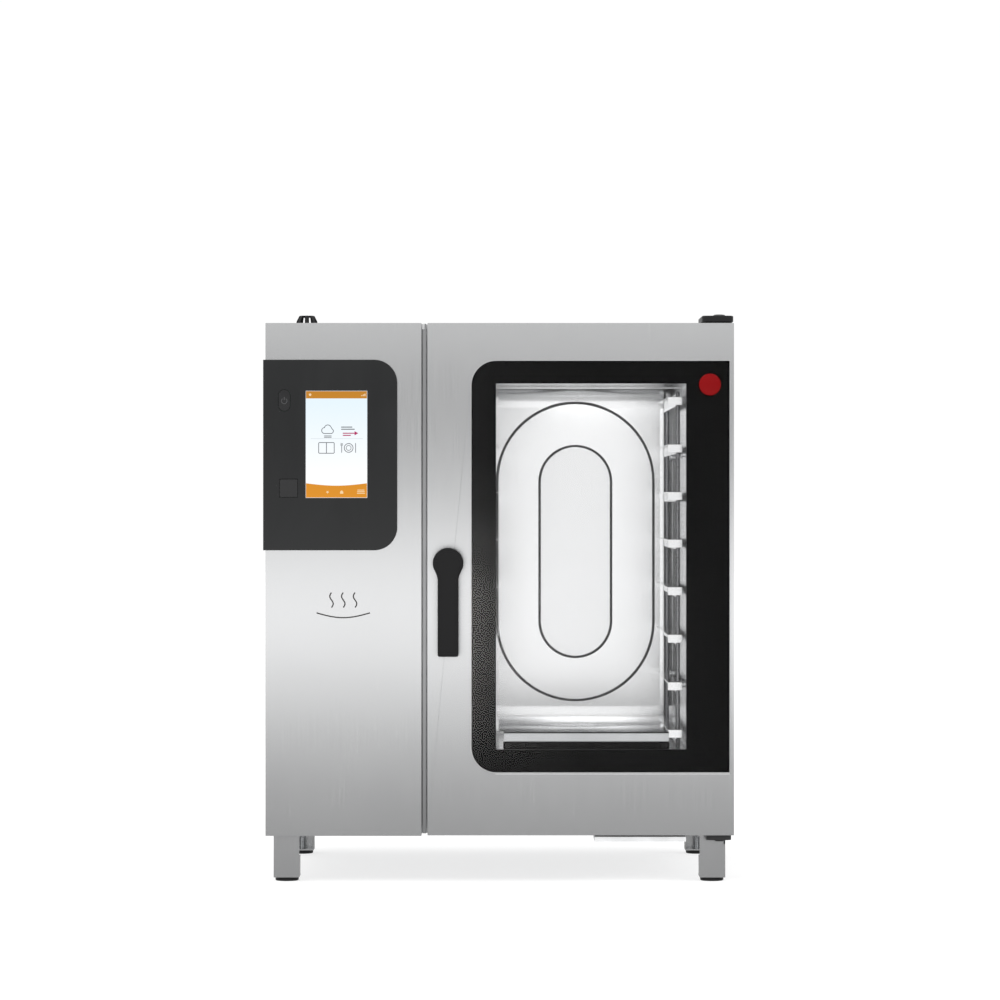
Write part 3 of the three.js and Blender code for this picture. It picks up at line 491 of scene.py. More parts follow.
# A much darker copy of the rack's steel for the uprights and cross rods: painted shade.
shaded_rod_steel = plain_metal("rack_rods_shaded", "chamber_steel", (0.27, 0.27, 0.28), 0.30)
cast = plain_metal("cast_aluminium", "aluminium", cool(0.68, 0.01), 0.46, 0.05)
brass = plain_metal("turned_brass", "brass", (0.72, 0.53, 0.26), 0.32)
# A light, non-metal copy of steel for the drip tray: its brightness is a painted sheen.
tray_steel_painted_sheen = moulded("tray_painted_sheen", "chamber_steel", cool(0.70), 0.36, 1200.0, 0.01)
painted_black = moulded("painted_steel", "machined_steel", (0.018, 0.018, 0.019), 0.38, 700.0, 0.02)
control_black = printed_glass("control_glass_black", (0.0185, 0.019, 0.0195), 0.14, 0.22)
door_black = printed_glass("door_glass_black", (0.0022, 0.0022, 0.0024), 0.10, 0.0)
glass = clear_glass("clear_glass")
lens = clear_glass("lamp_glass")
black = moulded("black_moulding", "black_plastic", (0.010, 0.010, 0.0105), 0.42, values=dim(0.25))
handle_black = moulded(
    "handle_moulding", "black_plastic", (0.009, 0.009, 0.0095), 0.40, 1200.0, 0.02, dim(0.18)
)
rail_black = moulded("rail_moulding", "black_plastic", (0.0025, 0.0025, 0.0026), 0.5, values=dim(0.1))
touch_black = moulded("touch_field", "black_plastic", (0.010, 0.010, 0.011), 0.22, 1200.0, 0.01)
print_grey = moulded("faint_print", "black_plastic", (0.055, 0.056, 0.058), 0.4)
print_dark = moulded("dark_print", "black_plastic", (0.030, 0.028, 0.027), 0.5)
unit_grey = moulded("unit_housing", "unit_plastic", (0.09, 0.09, 0.095), 0.5)
silicone = moulded("silicone", "rubber", (0.035, 0.035, 0.036), 0.62, 500.0, 0.04)
flap_rubber = moulded("flap_rubber", "rubber", (0.013, 0.013, 0.014), 0.5, 900.0, 0.02)
# Dark rubber laid where grooves and corners lie in shade: painted shade.
bead_painted_shade = moulded("bead_shadow", "rubber", (0.06, 0.06, 0.062), 0.45)
badge_red = moulded("badge_red", "badge_red", (0.19, 0.0, 0.001), 0.30, 300.0, 0.01, dim(0.12))
board_green = circuit("circuit_board", "board", (0.02, 0.11, 0.05))
wool = woolly("mineral_wool", "insulation", (0.62, 0.56, 0.38))


# --- studio

def new_light(name, place, toward, size, power, seen=True):
    """A soft rectangular lamp; one that isn't seen is left out of reflections too."""
    data = bpy.data.lights.new(name, "AREA")
    data.shape = "RECTANGLE"
    data.size, data.size_y = size
    data.energy = power
    light = placed(name, data)
    light.location = place
    light.rotation_euler = (Vector(toward) - Vector(place)).to_track_quat("-Z", "Y").to_euler()
    light.visible_camera = False
    light.visible_glossy = seen
    light.visible_transmission = False


def stage_plane(name, corners, material):
    mesh = bpy.data.meshes.new(name)
    mesh.from_pydata(corners, [], [(0, 1, 2, 3)])
    mesh.materials.append(material)
    obj = placed(name, mesh)
    return obj


CARD_HEIGHTS = (-1.2, 2.4)
CARD_HALF = 1.6  # half of a card's width
STEEL_STOPS = (  # brightest a little below the middle of the oven, darker up and down
    (-0.6, 0.25), (-0.1, 0.38), (0.0, 0.42), (0.09, 0.47), (0.17, 0.58), (0.27, 0.89), (0.37, 1.22),
    (0.45, 1.38), (0.56, 1.26), (0.72, 0.76), (0.83, 0.52), (0.94, 0.40), (1.03, 0.58), (1.10, 0.76),
    (1.6, 0.95),
)
GLASS_STOPS = (  # the door's glass mirrors a softer, narrower light at its left
    (-0.3, 0.6), (0.12, 2.6), (0.27, 10.0), (0.38, 15.5), (0.5, 16.5), (0.6, 8.0), (0.72, 2.8), (0.83, 1.1),
    (1.2, 0.8),
)
GLASS_ACROSS = ((-0.5, 0.9), (-0.14, 1.0), (0.02, 0.35), (0.2, 0.08), (0.5, 0.0))


def reflector(name, start, end, stops, across=(), clear=False):
    """An upright card from start to end (X and Y) that only mirror-like surfaces see.

    stops are pairs of a height in metres and the light there, and across, if given, scales that along X.
    A clear card also lets through what is behind it.
    """
    material = bpy.data.materials.new(name)
    material.use_nodes = True
    tree = material.node_tree
    tree.nodes.clear()
    split = add(tree, "ShaderNodeSeparateXYZ", {0: place_in(tree)})

    def level(output, pairs):
        first, last = pairs[0][0], pairs[-1][0]
        most = max(brightness for position, brightness in pairs)
        ramp = add(tree, "ShaderNodeValToRGB", {0: spread(tree, output, 0, 1, first, last)})
        ramp.color_ramp.interpolation = "EASE"
        while len(ramp.color_ramp.elements) < len(pairs):
            ramp.color_ramp.elements.new(1.0)
        for element, (position, brightness) in zip(ramp.color_ramp.elements, pairs):
            element.position = (position - first) / (last - first)
            element.color = (*[brightness / most] * 3, 1)
        return add(tree, "ShaderNodeMath", {0: ramp.outputs[0], 1: most}, operation="MULTIPLY").outputs[0]

    strength = level(split.outputs[2], stops)
    if across:
        values = {0: strength, 1: level(split.outputs[0], across)}
        strength = add(tree, "ShaderNodeMath", values, operation="MULTIPLY").outputs[0]
    glow = add(tree, "ShaderNodeEmission", {"Color": (1, 1, 1, 1), "Strength": strength}).outputs[0]
    if clear:
        through = add(tree, "ShaderNodeBsdfTransparent").outputs[0]
        glow = add(tree, "ShaderNodeAddShader", {0: glow, 1: through}).outputs[0]
    add(tree, "ShaderNodeOutputMaterial", {"Surface": glow}).is_active_output = True
    low, high = CARD_HEIGHTS
    card = stage_plane(name, [(*start, low), (*end, low), (*end, high), (*start, high)], material)
    for rays in ("camera", "diffuse", "transmission", "shadow"):
        setattr(card, "visible_" + rays, False)


def lit_only(light, objects, state):
    """Makes a light or a card reach only these objects (INCLUDE), or all but them (EXCLUDE)."""
    chosen = bpy.data.collections.new(light.name + "_receivers")
    for obj in objects:
        chosen.objects.link(obj)
    for entry in chosen.collection_objects:
        entry.light_linking.link_state = state
    light.light_linking.receiver_collection = chosen


def studio():
    """White background and floor, soft light from above, and large soft cards that the steel mirrors."""
    scene = bpy.context.scene
    scene.view_settings.view_transform = "Standard"
    camera_data = bpy.data.cameras.new("camera")
    camera_data.lens = 134.8
    camera = placed("camera", camera_data)
    camera.location = (0.001, -7.338, 0.716)
    camera.rotation_euler = (math.pi / 2, 0, 0)
    scene.camera = camera

    world = bpy.data.worlds.new("world")
    world.use_nodes = True
    scene.world = world
    world.node_tree.nodes["Background"].inputs["Color"].default_value = (1, 1, 1, 1)
    world.node_tree.nodes["Background"].inputs["Strength"].default_value = 1.02

    floor, _, shader = principled("floor_white", "", (0.42, 0.42, 0.42), 0.7, 0.0, dim(0.0))
    shader.inputs["Emission Color"].default_value = (1, 1, 1, 1)
    shader.inputs["Emission Strength"].default_value = 0.66
    reach = 30.0
    corners = [(reach * u, reach * v, 0) for u, v in ((-1, -1), (1, -1), (1, 1), (-1, 1))]
    stage_plane("floor", corners, floor).visible_glossy = False

    wide, far, aside = CARD_HALF, 1.65, 1.95
    reflector("front_card", (-wide, -far), (wide, -far), STEEL_STOPS)
    reflector("left_card", (-aside, -wide), (-aside, wide), STEEL_STOPS)
    reflector("right_card", (aside, -wide), (aside, wide), STEEL_STOPS)
    reflector("rear_card", (-wide, far), (wide, far), STEEL_STOPS)
    reflector("glass_card", (-wide, -1.6), (wide, -1.6), GLASS_STOPS, GLASS_ACROSS, True)

    new_light("key_above", (-1.2, -2.6, 3.2), (0, 0, 0.6), (2.4, 1.6), 45, seen=False)
    new_light("fill_right", (3.0, -0.6, 1.8), (0, 0, 0.5), (1.6, 1.6), 18, seen=False)
    new_light("fill_rear", (-1.6, 3.0, 2.0), (0, 0, 0.5), (2.0, 1.6), 22, seen=False)
    new_light("chamber_light", (0.16, -0.24, 0.60), (0.16, 0.3, 0.60), (0.36, 0.66), 0.140)
    new_light("chamber_lamp_light", (0.20, 0.0, 0.938), (0.20, 0.0, 0.2), (0.22, 0.4), 0.34)


# --- casing

SCREW_HEAD = (  # radius and height of a head of radius 1; the last three points are its socket
    (1, 0.0), (1, 0.25), (0.92, 0.42), (0.75, 0.55), (0.5, 0.62), (0.42, 0.6), (0.38, 0.2), (0, 0.16),
)


def screws(name, places, axis, radius, body="cabinet"):
    """Pan-head screws with a socket, in one object; axis is the way the heads point."""
    bm = bmesh.new()
    for centre in places:
        profile = [(radius * reach, radius * height) for reach, height in SCREW_HEAD]
        lathe(profile, axis, centre, 24, bm, star={5: 0.12, 6: 0.12})
    piece(name, bm, screw_steel, body=body)


def evenly(low, high, count):
    return [low + (high - low) * i / (count - 1) for i in range(count)]


SCREW_SINK = 1.4  # how far a side screw's seat lies below the sheet


def casing():
    for node in ("left_side_panel", "right_side_panel", "rear_panel"):
        keep(node, steel, 0.5)
    keep("base_pan", machined, 0.5)
    keep("top_panel", steel_roof, 0.6)
    keep("front_frame", steel, 0.4)
    for side, node in (("-x", "left_side_panel"), ("x", "right_side_panel")):
        low, high = span(node)
        x = low.x + SCREW_SINK if side == "-x" else high.x - SCREW_SINK
        rows = [(x, y, z) for y in (low.y + 22, high.y - 14) for z in evenly(low.z + 30, high.z - 30, 4)]
        rows += [(x, y, low.z + 14) for y in evenly(low.y + 200, high.y - 200, 2)]
        screws(node + "_screws", rows, side, 3.6)


# --- control column

def controls():
    keep("front_fascia", steel, 0.9)
    keep("control_glass", control_black, 0.7)
    keep("control_board", board_green, 0.3)
    low, high = span("front_fascia")
    # The trim's darker steel is painted shade of the gap between column and door.
    trim = block((high.x + 2.2, low.y + 6, low.z + 4), (high.x + 9, low.y + 9, high.z - 1), 0.9, 3)
    piece("column_edge_trim", trim, shaded_trim_steel)
    # A bright block at the trim's top, in the lighter chamber steel: a painted highlight.
    highlight_clip = block((high.x + 1, low.y + 3, high.z - 12), (high.x + 6.4, low.y + 5.8, high.z - 1), 0.9, 3)
    piece("column_top_highlight", highlight_clip, bright)
    power_button()
    usb_port()
    display()
    steam_mark()


def power_button():
    low, high = span("power_button")
    x, _, z = middle_of("power_button")
    outline = stadium(x, z, (high.x - low.x) / 2, (high.z - low.z) / 2)
    cap = plate([outline], "front", low.y, low.y + 12, 0.8, 3)
    piece("power_button_cap", cap, touch_black, "power_button", body="button")
    lines = (arc(x, z - 1, 5.2, 125, 415, 24), [(x, z + 0.5), (x, z + 6.5)])
    printed("power_mark", [stroke(line, 1.1) for line in lines], print_grey, low.y, 0.06, 0.3, "button")


def usb_port():
    """The socket in the glass, and the rubber flap with its finger lip."""
    low, high = span("usb_flap")
    x, _, z = middle_of("usb_flap")
    flap = plate([rounded(low.x, high.x, low.z, high.z, 3)], "front", low.y, high.y, 0.45, 3)
    block((x - 6, low.y + 0.05, low.z + 1.2), (x + 6, low.y + 0.5, low.z + 2.2), 0.2, 2, flap)
    piece("usb_cover_flap", flap, flap_rubber, "usb_flap", body="flap")
    deep = span("control_glass")[1].y - 1.2
    outer = rounded(x - 6.4, x + 6.4, z - 3.4, z + 3.4, 0.8)
    inner = rounded(x - 5.8, x + 5.8, z - 2.8, z + 2.8, 0.5)
    socket = plate([outer, hole(inner)], "front", high.y + 1.3, deep, 0.1, 1)
    block((x - 5.2, high.y + 1.6, z - 0.2), (x + 5.2, deep, z + 1.4), 0.2, 2, socket)
    piece("usb_socket", socket, machined)


def display():
    """The lit display: its picture is thin layers on the module's face."""
    low, high = span("touch_screen")
    margin, face = 5.3, low.y
    left, right, bottom, top = low.x + margin, high.x - margin, low.z + margin, high.z - margin

    def ink(name, lower, upper, strength=0.9):
        return glowing("display_" + name, "screen", lower, upper, strength, bottom, top)

    pale = (0.80, 0.92, 1.0)
    white = glowing("display_white", "screen", (1.0, 1.0, 1.0), pale, 0.97, bottom + 40, top - 20)
    orange = ink("orange", (0.76, 0.28, 0.0), (0.56, 0.22, 0.006), 0.95)
    pale = ink("pale", (1.0, 0.72, 0.40), (0.95, 0.72, 0.45))
    grey, faint, magenta = (
        ink(name, color, color)
        for name, color in (
            ("grey", (0.10, 0.11, 0.12)), ("faint", (0.62, 0.68, 0.72)), ("magenta", (0.50, 0.03, 0.14)),
        )
    )
    module = block((left, face, bottom), (right, face + 5.4, top), 0.25, 2)
    block((left - 4, face + 5.7, bottom - 4), (right + 4, high.y, top + 4), 0.5, 2, module)
    piece("display_module", module, white, "touch_screen")

    def layer(name, material, groups, level=1):
        printed("display_" + name, groups, material, face, 0.06 * level, 0.1)

    def bar(x, length, z, width):
        return stroke([(x, z), (x + length, z)], width)

    def post(x, z, reach, width):
        return stroke([(x, z - reach), (x, z + reach)], width)

    inset = 0.3
    x0, x1 = left + inset, right - inset
    dip = [(x1 + (x0 - x1) * i / 16, bottom + 27 - 4.5 * math.sin(math.pi * i / 16)) for i in range(17)]
    foot_bar = [(x0, bottom + inset), (x1, bottom + inset)] + dip
    head_bar = rectangle(x0, x1, top - 14, top - inset)
    layer("bars", orange, [[foot_bar], [head_bar]])

    spikes = [(3.2 if i % 2 else 1.4, math.pi * i / 5) for i in range(10)][::-1]
    star = [(left + 40.5 + r * math.sin(a), bottom + 10.5 + r * math.cos(a)) for r, a in spikes]
    home = [(left + u, bottom + v) for u, v in ((64, 7.5), (70, 7.5), (70, 11), (67, 14), (64, 11))]
    shapes = [circle(left + 8, top - 7, 2.4, 12), star, home]
    for i in range(3):
        x = right - 11 + 3 * i
        shapes.append(rectangle(x, x + 2, top - 9.5, top - 8 + 1.4 * i))
    for i in range(3):
        z = bottom + 7.5 + 3 * i
        shapes.append(rectangle(right - 19 + 0.5 * i, right - 4 - 0.5 * i, z, z + 1.5))
    layer("small_icons", pale, [[shape] for shape in shapes], 2)

    line = 1.3
    row_high, row_low = top - 71, bottom + 93
    cloud_x, text_x, plate_x = left + 41, left + 66, left + 80
    cloud = arc(cloud_x - 6, row_high - 3, 5.5, 90, 270, 8) + arc(cloud_x + 6, row_high - 4, 4.5, -90, 60, 8)
    cloud += arc(cloud_x, row_high + 1, 6.5, 20, 160, 10)
    book = rounded(left + 24, left + 53, row_low - 10, row_low + 10, 1.6, 3)
    icons = [stroke(cloud, line, True)]
    icons += [bar(cloud_x - 7, 14, row_high - z, line) for z in (13.0, 15.5)]
    icons += [bar(text_x, 26 - abs(z) * 1.5, row_high + z, 1.7) for z in (3.5, -0.5)]
    icons += [stroke(book, line, True), post(left + 38.5, row_low, 10, line)]
    icons += [stroke(circle(plate_x, row_low, 8.2, 24), line, True)]
    icons += [stroke(circle(plate_x, row_low, 4.6, 20), line * 0.8, True)]
    icons += [post(plate_x + x, row_low, 9, 1.2) for x in (-13, 13)]
    icons += [post(plate_x - 13 + x, row_low + 6.5, 2.5, 0.7) for x in (-1.8, 1.8)]
    layer("icons", grey, icons)
    layer("divider", faint, [[rectangle(left + 9, right - 8, top - 89.4, top - 88.8)]])
    tip = [(text_x + u, row_high - v) for u, v in ((25, 12), (32, 8), (25, 4))]
    lines = [bar(text_x + 3, 24, row_high - 8, 1.9), bar(text_x + 3, 15, row_high - 12, 1.9)]
    layer("arrow", magenta, [lines[0], [tip], lines[1]])


def steam_mark():
    """A plain printed sign on the fascia: three wisps of steam over a curved tray."""
    x, z = -292.0, 505.0
    steps = [k / 16 for k in range(17)]
    lines = []
    for shift in (-22, 0, 22):
        lines.append([(x + shift + 3.2 * math.sin(2 * math.pi * t), z + 10 + 28 * t) for t in steps])
    lines.append([(x - 50 + 100 * t, z - 9 * math.sin(math.pi * t)) for t in steps])
    face = span("front_fascia")[0].y
    printed("printed_steam_sign", [stroke(line, 2.4) for line in lines], print_dark, face, 0.08, 0.4)


# --- door

def door():
    keep("door_frame", steel, 1.1)
    keep("door_outer_glass", glass, 0.0)
    keep("door_glass_frit", door_black, 0.0)
    keep("door_inner_glass", glass, 0.5)
    low, high = span("door_inner_frame")
    pane_low, pane_high = span("door_inner_glass")
    opening = rounded(pane_low.x + 8, pane_high.x - 8, pane_low.z + 8, pane_high.z - 8, 6)
    outline = rounded(low.x, high.x, low.z, high.z, 4)
    liner = plate([outline, hole(opening)], "front", low.y, high.y, 0.8)
    piece("door_liner", liner, steel, "door_inner_frame", body="door")
    y = high.y - 0.5
    places = [(x, y, z) for x in (low.x + 14, high.x - 14) for z in evenly(low.z + 20, high.z - 20, 5)]
    places += [(x, y, z) for x in evenly(low.x + 150, high.x - 150, 3) for z in (low.z + 14, high.z - 14)]
    screws("door_liner_screws", places, "y", 3.4, "door")
    glazing_bead(opening, high.y)
    inner_rail()
    badge()
    window_lip()


def glazing_bead(opening, face):
    """The black bead that holds the inner pane, and the pane's catches."""
    outlines = [shifted(opening, -0.4), hole(shifted(opening, 4.0))]
    piece("inner_glazing_bead", plate(outlines, "front", face - 4.2, face - 0.4, 0.8), silicone, body="door")
    right = max(u for u, v in opening)
    heights = [v for u, v in opening]
    bm = bmesh.new()
    for z in (min(heights) + 60, max(heights) - 60):
        block((right - 4, face - 2.6, z - 14), (right + 10, face + 0.8, z + 14), 1.0, 3, bm)
    piece("inner_pane_catches", bm, machined, body="door")


def inner_rail():
    low, high = span("inner_glass_rail")
    bm = plate([rounded(low.x, high.x, low.z, high.z, 3)], "front", low.y, high.y, 1.2, 3)
    piece("inner_pane_rail", bm, rail_black, "inner_glass_rail", body="door")
    ledge = block((low.x + 1, low.y + 1, high.z + 0.6), (high.x - 1, high.y - 1, high.z + 16))
    piece("inner_pane_profile", ledge, machined, body="door")
    gasket = block((low.x + 1, low.y + 0.6, high.z + 16.2), (high.x - 1, high.y - 1, high.z + 18.8))
    piece("inner_pane_gasket", gasket, silicone, body="door")
    clips = bmesh.new()
    profile = [(0, 0), (5.6, 0), (5.6, 0.4), (4.6, 1.0), (2.4, 1.0), (1.8, 0.4), (0, 0.4)]
    for x in (low.x + 9, high.x - 9):
        lathe(profile, "-y", (x, low.y + 0.3, middle_of("inner_glass_rail")[2]), 24, clips)
    piece("inner_pane_rail_clips", clips, black, body="door")


def badge():
    low, high = span("door_badge")
    x, _, z = middle_of("door_badge")
    radius, thick, rim = (high.x - low.x) / 2, high.y - low.y, 1.2
    turns = [math.pi / 2 * i / 10 for i in range(10)]
    dome = [(radius * math.cos(a), rim + (thick - rim) * math.sin(a)) for a in turns]
    profile = [(0, 0), (radius - 0.4, 0), (radius, 0.4)] + dome + [(0, thick)]
    piece("round_badge", lathe(profile, "-y", (x, high.y, z), 64), badge_red, "door_badge", body="door")


def window_lip():
    """The folded edge of the steel round the outer pane. Its lighter chamber steel is a painted highlight,
    and the bright rod along its lower edge is a painted highlight too.
    """
    low, high = span("door_outer_glass")
    front, gap, radius = span("door_frame")[0].y, 0.3, 48
    outline = rectangle(
        low.x - gap, high.x + gap, low.z - gap, high.z + gap, low_left=radius, high_left=radius, steps=16
    )
    bm = plate([outline, hole(shifted(outline, 1.7))], "front", front + 0.5, low.y - 0.1, 0.5)
    piece("window_lip", bm, bright, body="door")
    # A bright rod along the pane's lower edge: a painted highlight.
    edge = wire([(x, front + 0.9, low.z - 1.6) for x in (low.x + 46, high.x - 1)], 1.2)
    piece("window_lower_highlight_rod", edge, wire_steel, body="door")


def handle():
    low, high = span("door_handle")
    x, _, z = middle_of("handle_shaft")
    front, back, boss, half = low.y, high.y, high.z - z, 19.4
    # The lever: a round head that narrows into a straight grip with a squared end.
    side = [(x + half + 1.4, z - 23), (x + half, z - 30), (x + half, low.z + 2.5), (x + half - 2.5, low.z)]
    outline = arc(x, z, boss, -34, 214, 40) + [(2 * x - u, v) for u, v in side] + side[::-1]
    lever = plate([outline], "front", front + 0.8, front + 27, 3.2, 4)
    piece("handle_lever", lever, handle_black, "door_handle", body="handle")
    neck = [(0, 0), (22, 0), (22, 24), (24.5, 27), (26.8, 30.4), (0, 30.4)]
    piece("handle_boss", lathe(neck, "-y", (x, back, z), 56), handle_black, body="handle")
    rose = [(0, 0), (27.5, 0), (27.5, 1.6), (26.4, 2.8), (22.5, 3.0), (0, 3.0)]
    piece("handle_rose", lathe(rose, "-y", (x, back + 0.1, z), 56), black, body="handle")
    # A raised flat on the lever's face.
    grip = half - 5
    pad = arc(x, z, boss - 6, -34, 214, 32)
    pad += [(x - grip, z - 30), (x - grip, low.z + 6), (x + grip, low.z + 6), (x + grip, z - 30)]
    piece("handle_face", plate([pad], "front", front, front + 3, 0.7, 3), handle_black, body="handle")
    keep("handle_shaft", machined, 0.6)
    keep("latch_cam", machined, 0.8)


# --- chamber

def smooth(points, steps):
    """A finer line through the points."""
    path = [Vector(p) for p in points]
    path = [2 * path[0] - path[1]] + path + [2 * path[-1] - path[-2]]
    fine = []
    for a, b, c, d in zip(path, path[1:], path[2:], path[3:]):
        for i in range(steps):
            t = i / steps
            bend = (2 * a - 5 * b + 4 * c - d) * t * t + (3 * b - a - 3 * c + d) * t ** 3
            fine.append(0.5 * (2 * b + (c - a) * t + bend))
    return fine + [path[-2]]


def chamber():
    for node in ("cavity_floor", "cavity_ceiling"):
        keep(node, bright_floor, 0.3)
    keep("cavity_left_wall", bright, 0.3)
    keep("cavity_right_wall", shaded_wall_steel, 0.3)
    rear_wall()
    rear_baffle()
    suction_panel()
    fan_wheel()
    heating_coil()
    chamber_lamp()
    strainer()
    seal()


def rear_wall():
    """The rear wall runs in one curve into the floor and the ceiling, and a cove closes the right corner."""
    low, high = span("cavity_rear_wall")
    middle, thick = (low.y + high.y) / 2, high.y - low.y
    bottom = span("cavity_floor")[1].z + thick / 2 + 0.3
    top = span("cavity_ceiling")[0].z - thick / 2 - 0.3
    lower, upper, cove = 50, 40, 24
    line = [(middle - lower - 30, bottom)] + arc(middle - lower, bottom + lower, lower, 270, 360, 16)
    line += arc(middle - upper, top - upper, upper, 0, 90, 12) + [(middle - upper - 12, top)]
    sheet = plate(stroke(line, thick), "side", low.x, high.x)
    piece("cavity_rear_sheet", sheet, bright, "cavity_rear_wall")
    line = arc(high.x - 0.6 - cove, low.y - 0.8 - cove, cove, 0, 90, 12)
    corner = plate(stroke(line, 1.2), "top", bottom + lower, top - upper)
    piece("cavity_corner_sheet", corner, bright)
    # A dark rod along the right corner: painted shade.
    joint = wire([(high.x - 15, low.y - 12, z) for z in (bottom + 12, top - 12)], 1.9)
    piece("cavity_corner_shade_line", joint, bead_painted_shade)


BAFFLE_COVER = (71.0, 213.0)  # half the width and half the height of the raised cover
SHADE_RING = 4.4  # how wide the dark rings of painted shade are


def rear_baffle():
    """The stadium-shaped plate on the rear wall and its raised cover, each with a dark ring of painted shade
    round it, where a pressed bead's groove lies in shade.
    """
    low, high = span("rear_baffle_plate")
    x, _, z = middle_of("rear_baffle_plate")
    x -= 1.5
    half, tall = (high.x - low.x) / 2 - 5.5, (high.z - low.z) / 2
    step = high.y - 4
    outer = plate([stadium(x, z, half, tall, 32)], "front", step, high.y, 1.4, 3)
    piece("rear_baffle", outer, bright, "rear_baffle_plate")
    # The cover takes the darker copy of the chamber steel: painted shade.
    cover = plate([stadium(x, z, *BAFFLE_COVER, 28)], "front", low.y, step - 0.1, 1.2, 3)
    piece("rear_baffle_cover", cover, cover_steel_shaded)
    # Dark rings round the plate and the cover: painted shade.
    spare = SHADE_RING / 2
    ring = stadium(x, z, half + spare, tall + spare, 32)
    bm = plate(stroke(ring, SHADE_RING, True), "front", high.y - 2.6, high.y + 0.2)
    ring = stadium(x, z, BAFFLE_COVER[0] + spare, BAFFLE_COVER[1] + spare, 28)
    plate(stroke(ring, SHADE_RING, True), "front", step - 0.6, step - 0.05, into=bm)
    piece("rear_baffle_shade_rings", bm, bead_painted_shade)


def suction_panel():
    """The guard in front of the fan: a sheet with a round grille, air slots and thumb nuts."""
    low, high = span("suction_panel")
    _, y, z = middle_of("fan_wheel")
    radius, tube = 105.0, 2.6
    slots = [
        hole(stadium(edge_y, slot_z, 3.4, 15, 8))
        for edge_y in (low.y + 17, high.y - 17)
        for slot_z in evenly(low.z + 60, high.z - 60, 13)
    ]
    outline = rounded(low.y, high.y, low.z, high.z, 10)
    sheet = plate([outline, hole(circle(y, z, radius, 72))] + slots, "side", low.x, high.x, 0.4)
    piece("fan_guard_sheet", sheet, bright, "suction_panel")
    grille = bmesh.new()
    for drop in evenly(-87.5, 87.5, 11):
        half = math.sqrt(radius ** 2 - drop ** 2) + 1.5
        bar_z = z + drop
        block((low.x + 0.3, y - half, bar_z - 2.1), (high.x - 0.3, y + half, bar_z + 2.1), 0.7, 2, grille)
    rim = circle(radius, 0, tube, 12)
    lathe(rim + rim[:1], "x", (middle_of("suction_panel")[0], y, z), 84, grille)
    piece("fan_guard_grille", grille, wire_steel)
    nuts = bmesh.new()
    knob = [(0, 0), (5, 0), (5, 1.5), (8, 2), (8.4, 3), (8.4, 5.4), (7.6, 6.6), (0, 7)]
    for nut_y in (low.y + 40, high.y - 40):
        for nut_z in (low.z + 24, high.z - 24):
            lathe(knob, "x", (high.x, nut_y, nut_z), 32, nuts, star={3: 0.04, 4: 0.04, 5: 0.04})
    piece("fan_guard_nuts", nuts, screw_steel)


def fan_wheel():
    """Back plate, front ring, hub with nut, shaft and curved blades."""
    low, high = span("fan_wheel")
    _, hub_y, hub_z = middle_of("fan_wheel")
    radius, inner, width, blades = (high.z - low.z) / 2, 100.0, 52.0, 10
    centre = (high.x - width, hub_y, hub_z)
    disc = [(0, 0), (radius - 1, 0), (radius, 0.7), (radius, 2.2), (radius - 1, 3), (0, 3)]
    bm = lathe(disc, "x", centre, 84)
    ring = [(inner, width - 3), (inner + 1, width - 3.6), (radius - 1, width - 3), (radius, width - 2)]
    ring += [(radius - 0.6, width), (inner + 4, width), (inner, width - 1), ring[0]]
    lathe(ring, "x", centre, 84, bm)
    lathe([(0, 3), (26, 3), (25, 8), (19, 12), (18, 38), (15, 42), (0, 42)], "x", centre, 48, bm)
    lathe([(0, 42), (11.5, 42), (12.5, 43), (12.5, 49), (11.5, 50), (0, 50)], "x", centre, 6, bm)
    shaft = low.x - centre[0]
    lathe([(0, shaft), (7, shaft), (8, shaft + 1), (8, 1), (0, 1)], "x", centre, 32, bm)
    for blade in range(blades):
        line = []
        for along in evenly(0, 1, 9):
            reach = 91 + (radius - 93) * along
            angle = 2 * math.pi * blade / blades + 0.20 * along ** 2
            line.append((hub_y + reach * math.cos(angle), hub_z + reach * math.sin(angle)))
        plate(stroke(line, 2.2), "side", centre[0] + 2, centre[0] + width - 2, 0.3, into=bm)
    piece("fan_wheel_pressed", bm, pressed, "fan_wheel", body="fan")


def heating_coil():
    low = span("heating_coil")[0]
    _, y, z = middle_of("fan_wheel")
    radius, turns, tube, steps = 168.0, 3, 4.5, 40
    first, last = -80.0, -36.0  # X of the first and last turn
    tail = z - radius
    points = [(low.x + d, y, tail) for d in (0, 10, 20, 28)]
    for i in range(2, steps * turns - 1):
        along = i / (steps * turns)
        angle = -math.pi / 2 - 2 * math.pi * turns * along
        turn_y, turn_z = y + radius * math.cos(angle), z + radius * math.sin(angle)
        points.append((first + (last - first) * along, turn_y, turn_z))
    points += [(last + 2, y, tail - 2), (last + 2, y, tail - 16), (last - 12, y, tail - 16)]
    points += [(low.x + d, y, tail - 16) for d in (40, 20, 0)]
    piece("heating_element", wire(smooth(points, 3), tube, 16), element_steel, "heating_coil")


def chamber_lamp():
    """A glass dome in a steel ring, with a lit disc behind it."""
    x, y, _ = middle_of("cavity_lamp")
    centre = (x, y, span("cavity_lamp")[0].z)
    glow = glowing("lamp_glow", "clear_glass", (1.0, 0.93, 0.82), (1.0, 0.93, 0.82), 1.6)
    dome = [(0, 0), (16, 0.4), (26, 1.8), (31, 4.2), (32, 6), (32, 16), (0, 16)]
    piece("lamp_lens", lathe(dome, "z", centre, 64), lens, "cavity_lamp")
    ring = [(32.4, 1.8), (39, 2.3), (41, 3.8), (32.4, 3.8), (32.4, 1.8)]
    piece("lamp_ring", lathe(ring, "z", centre, 64), bright_floor)
    disc = [(0, 16.3), (24, 16.3), (24, 17.6), (0, 17.6)]
    piece("lamp_bulb", lathe(disc, "z", centre, 48), glow)


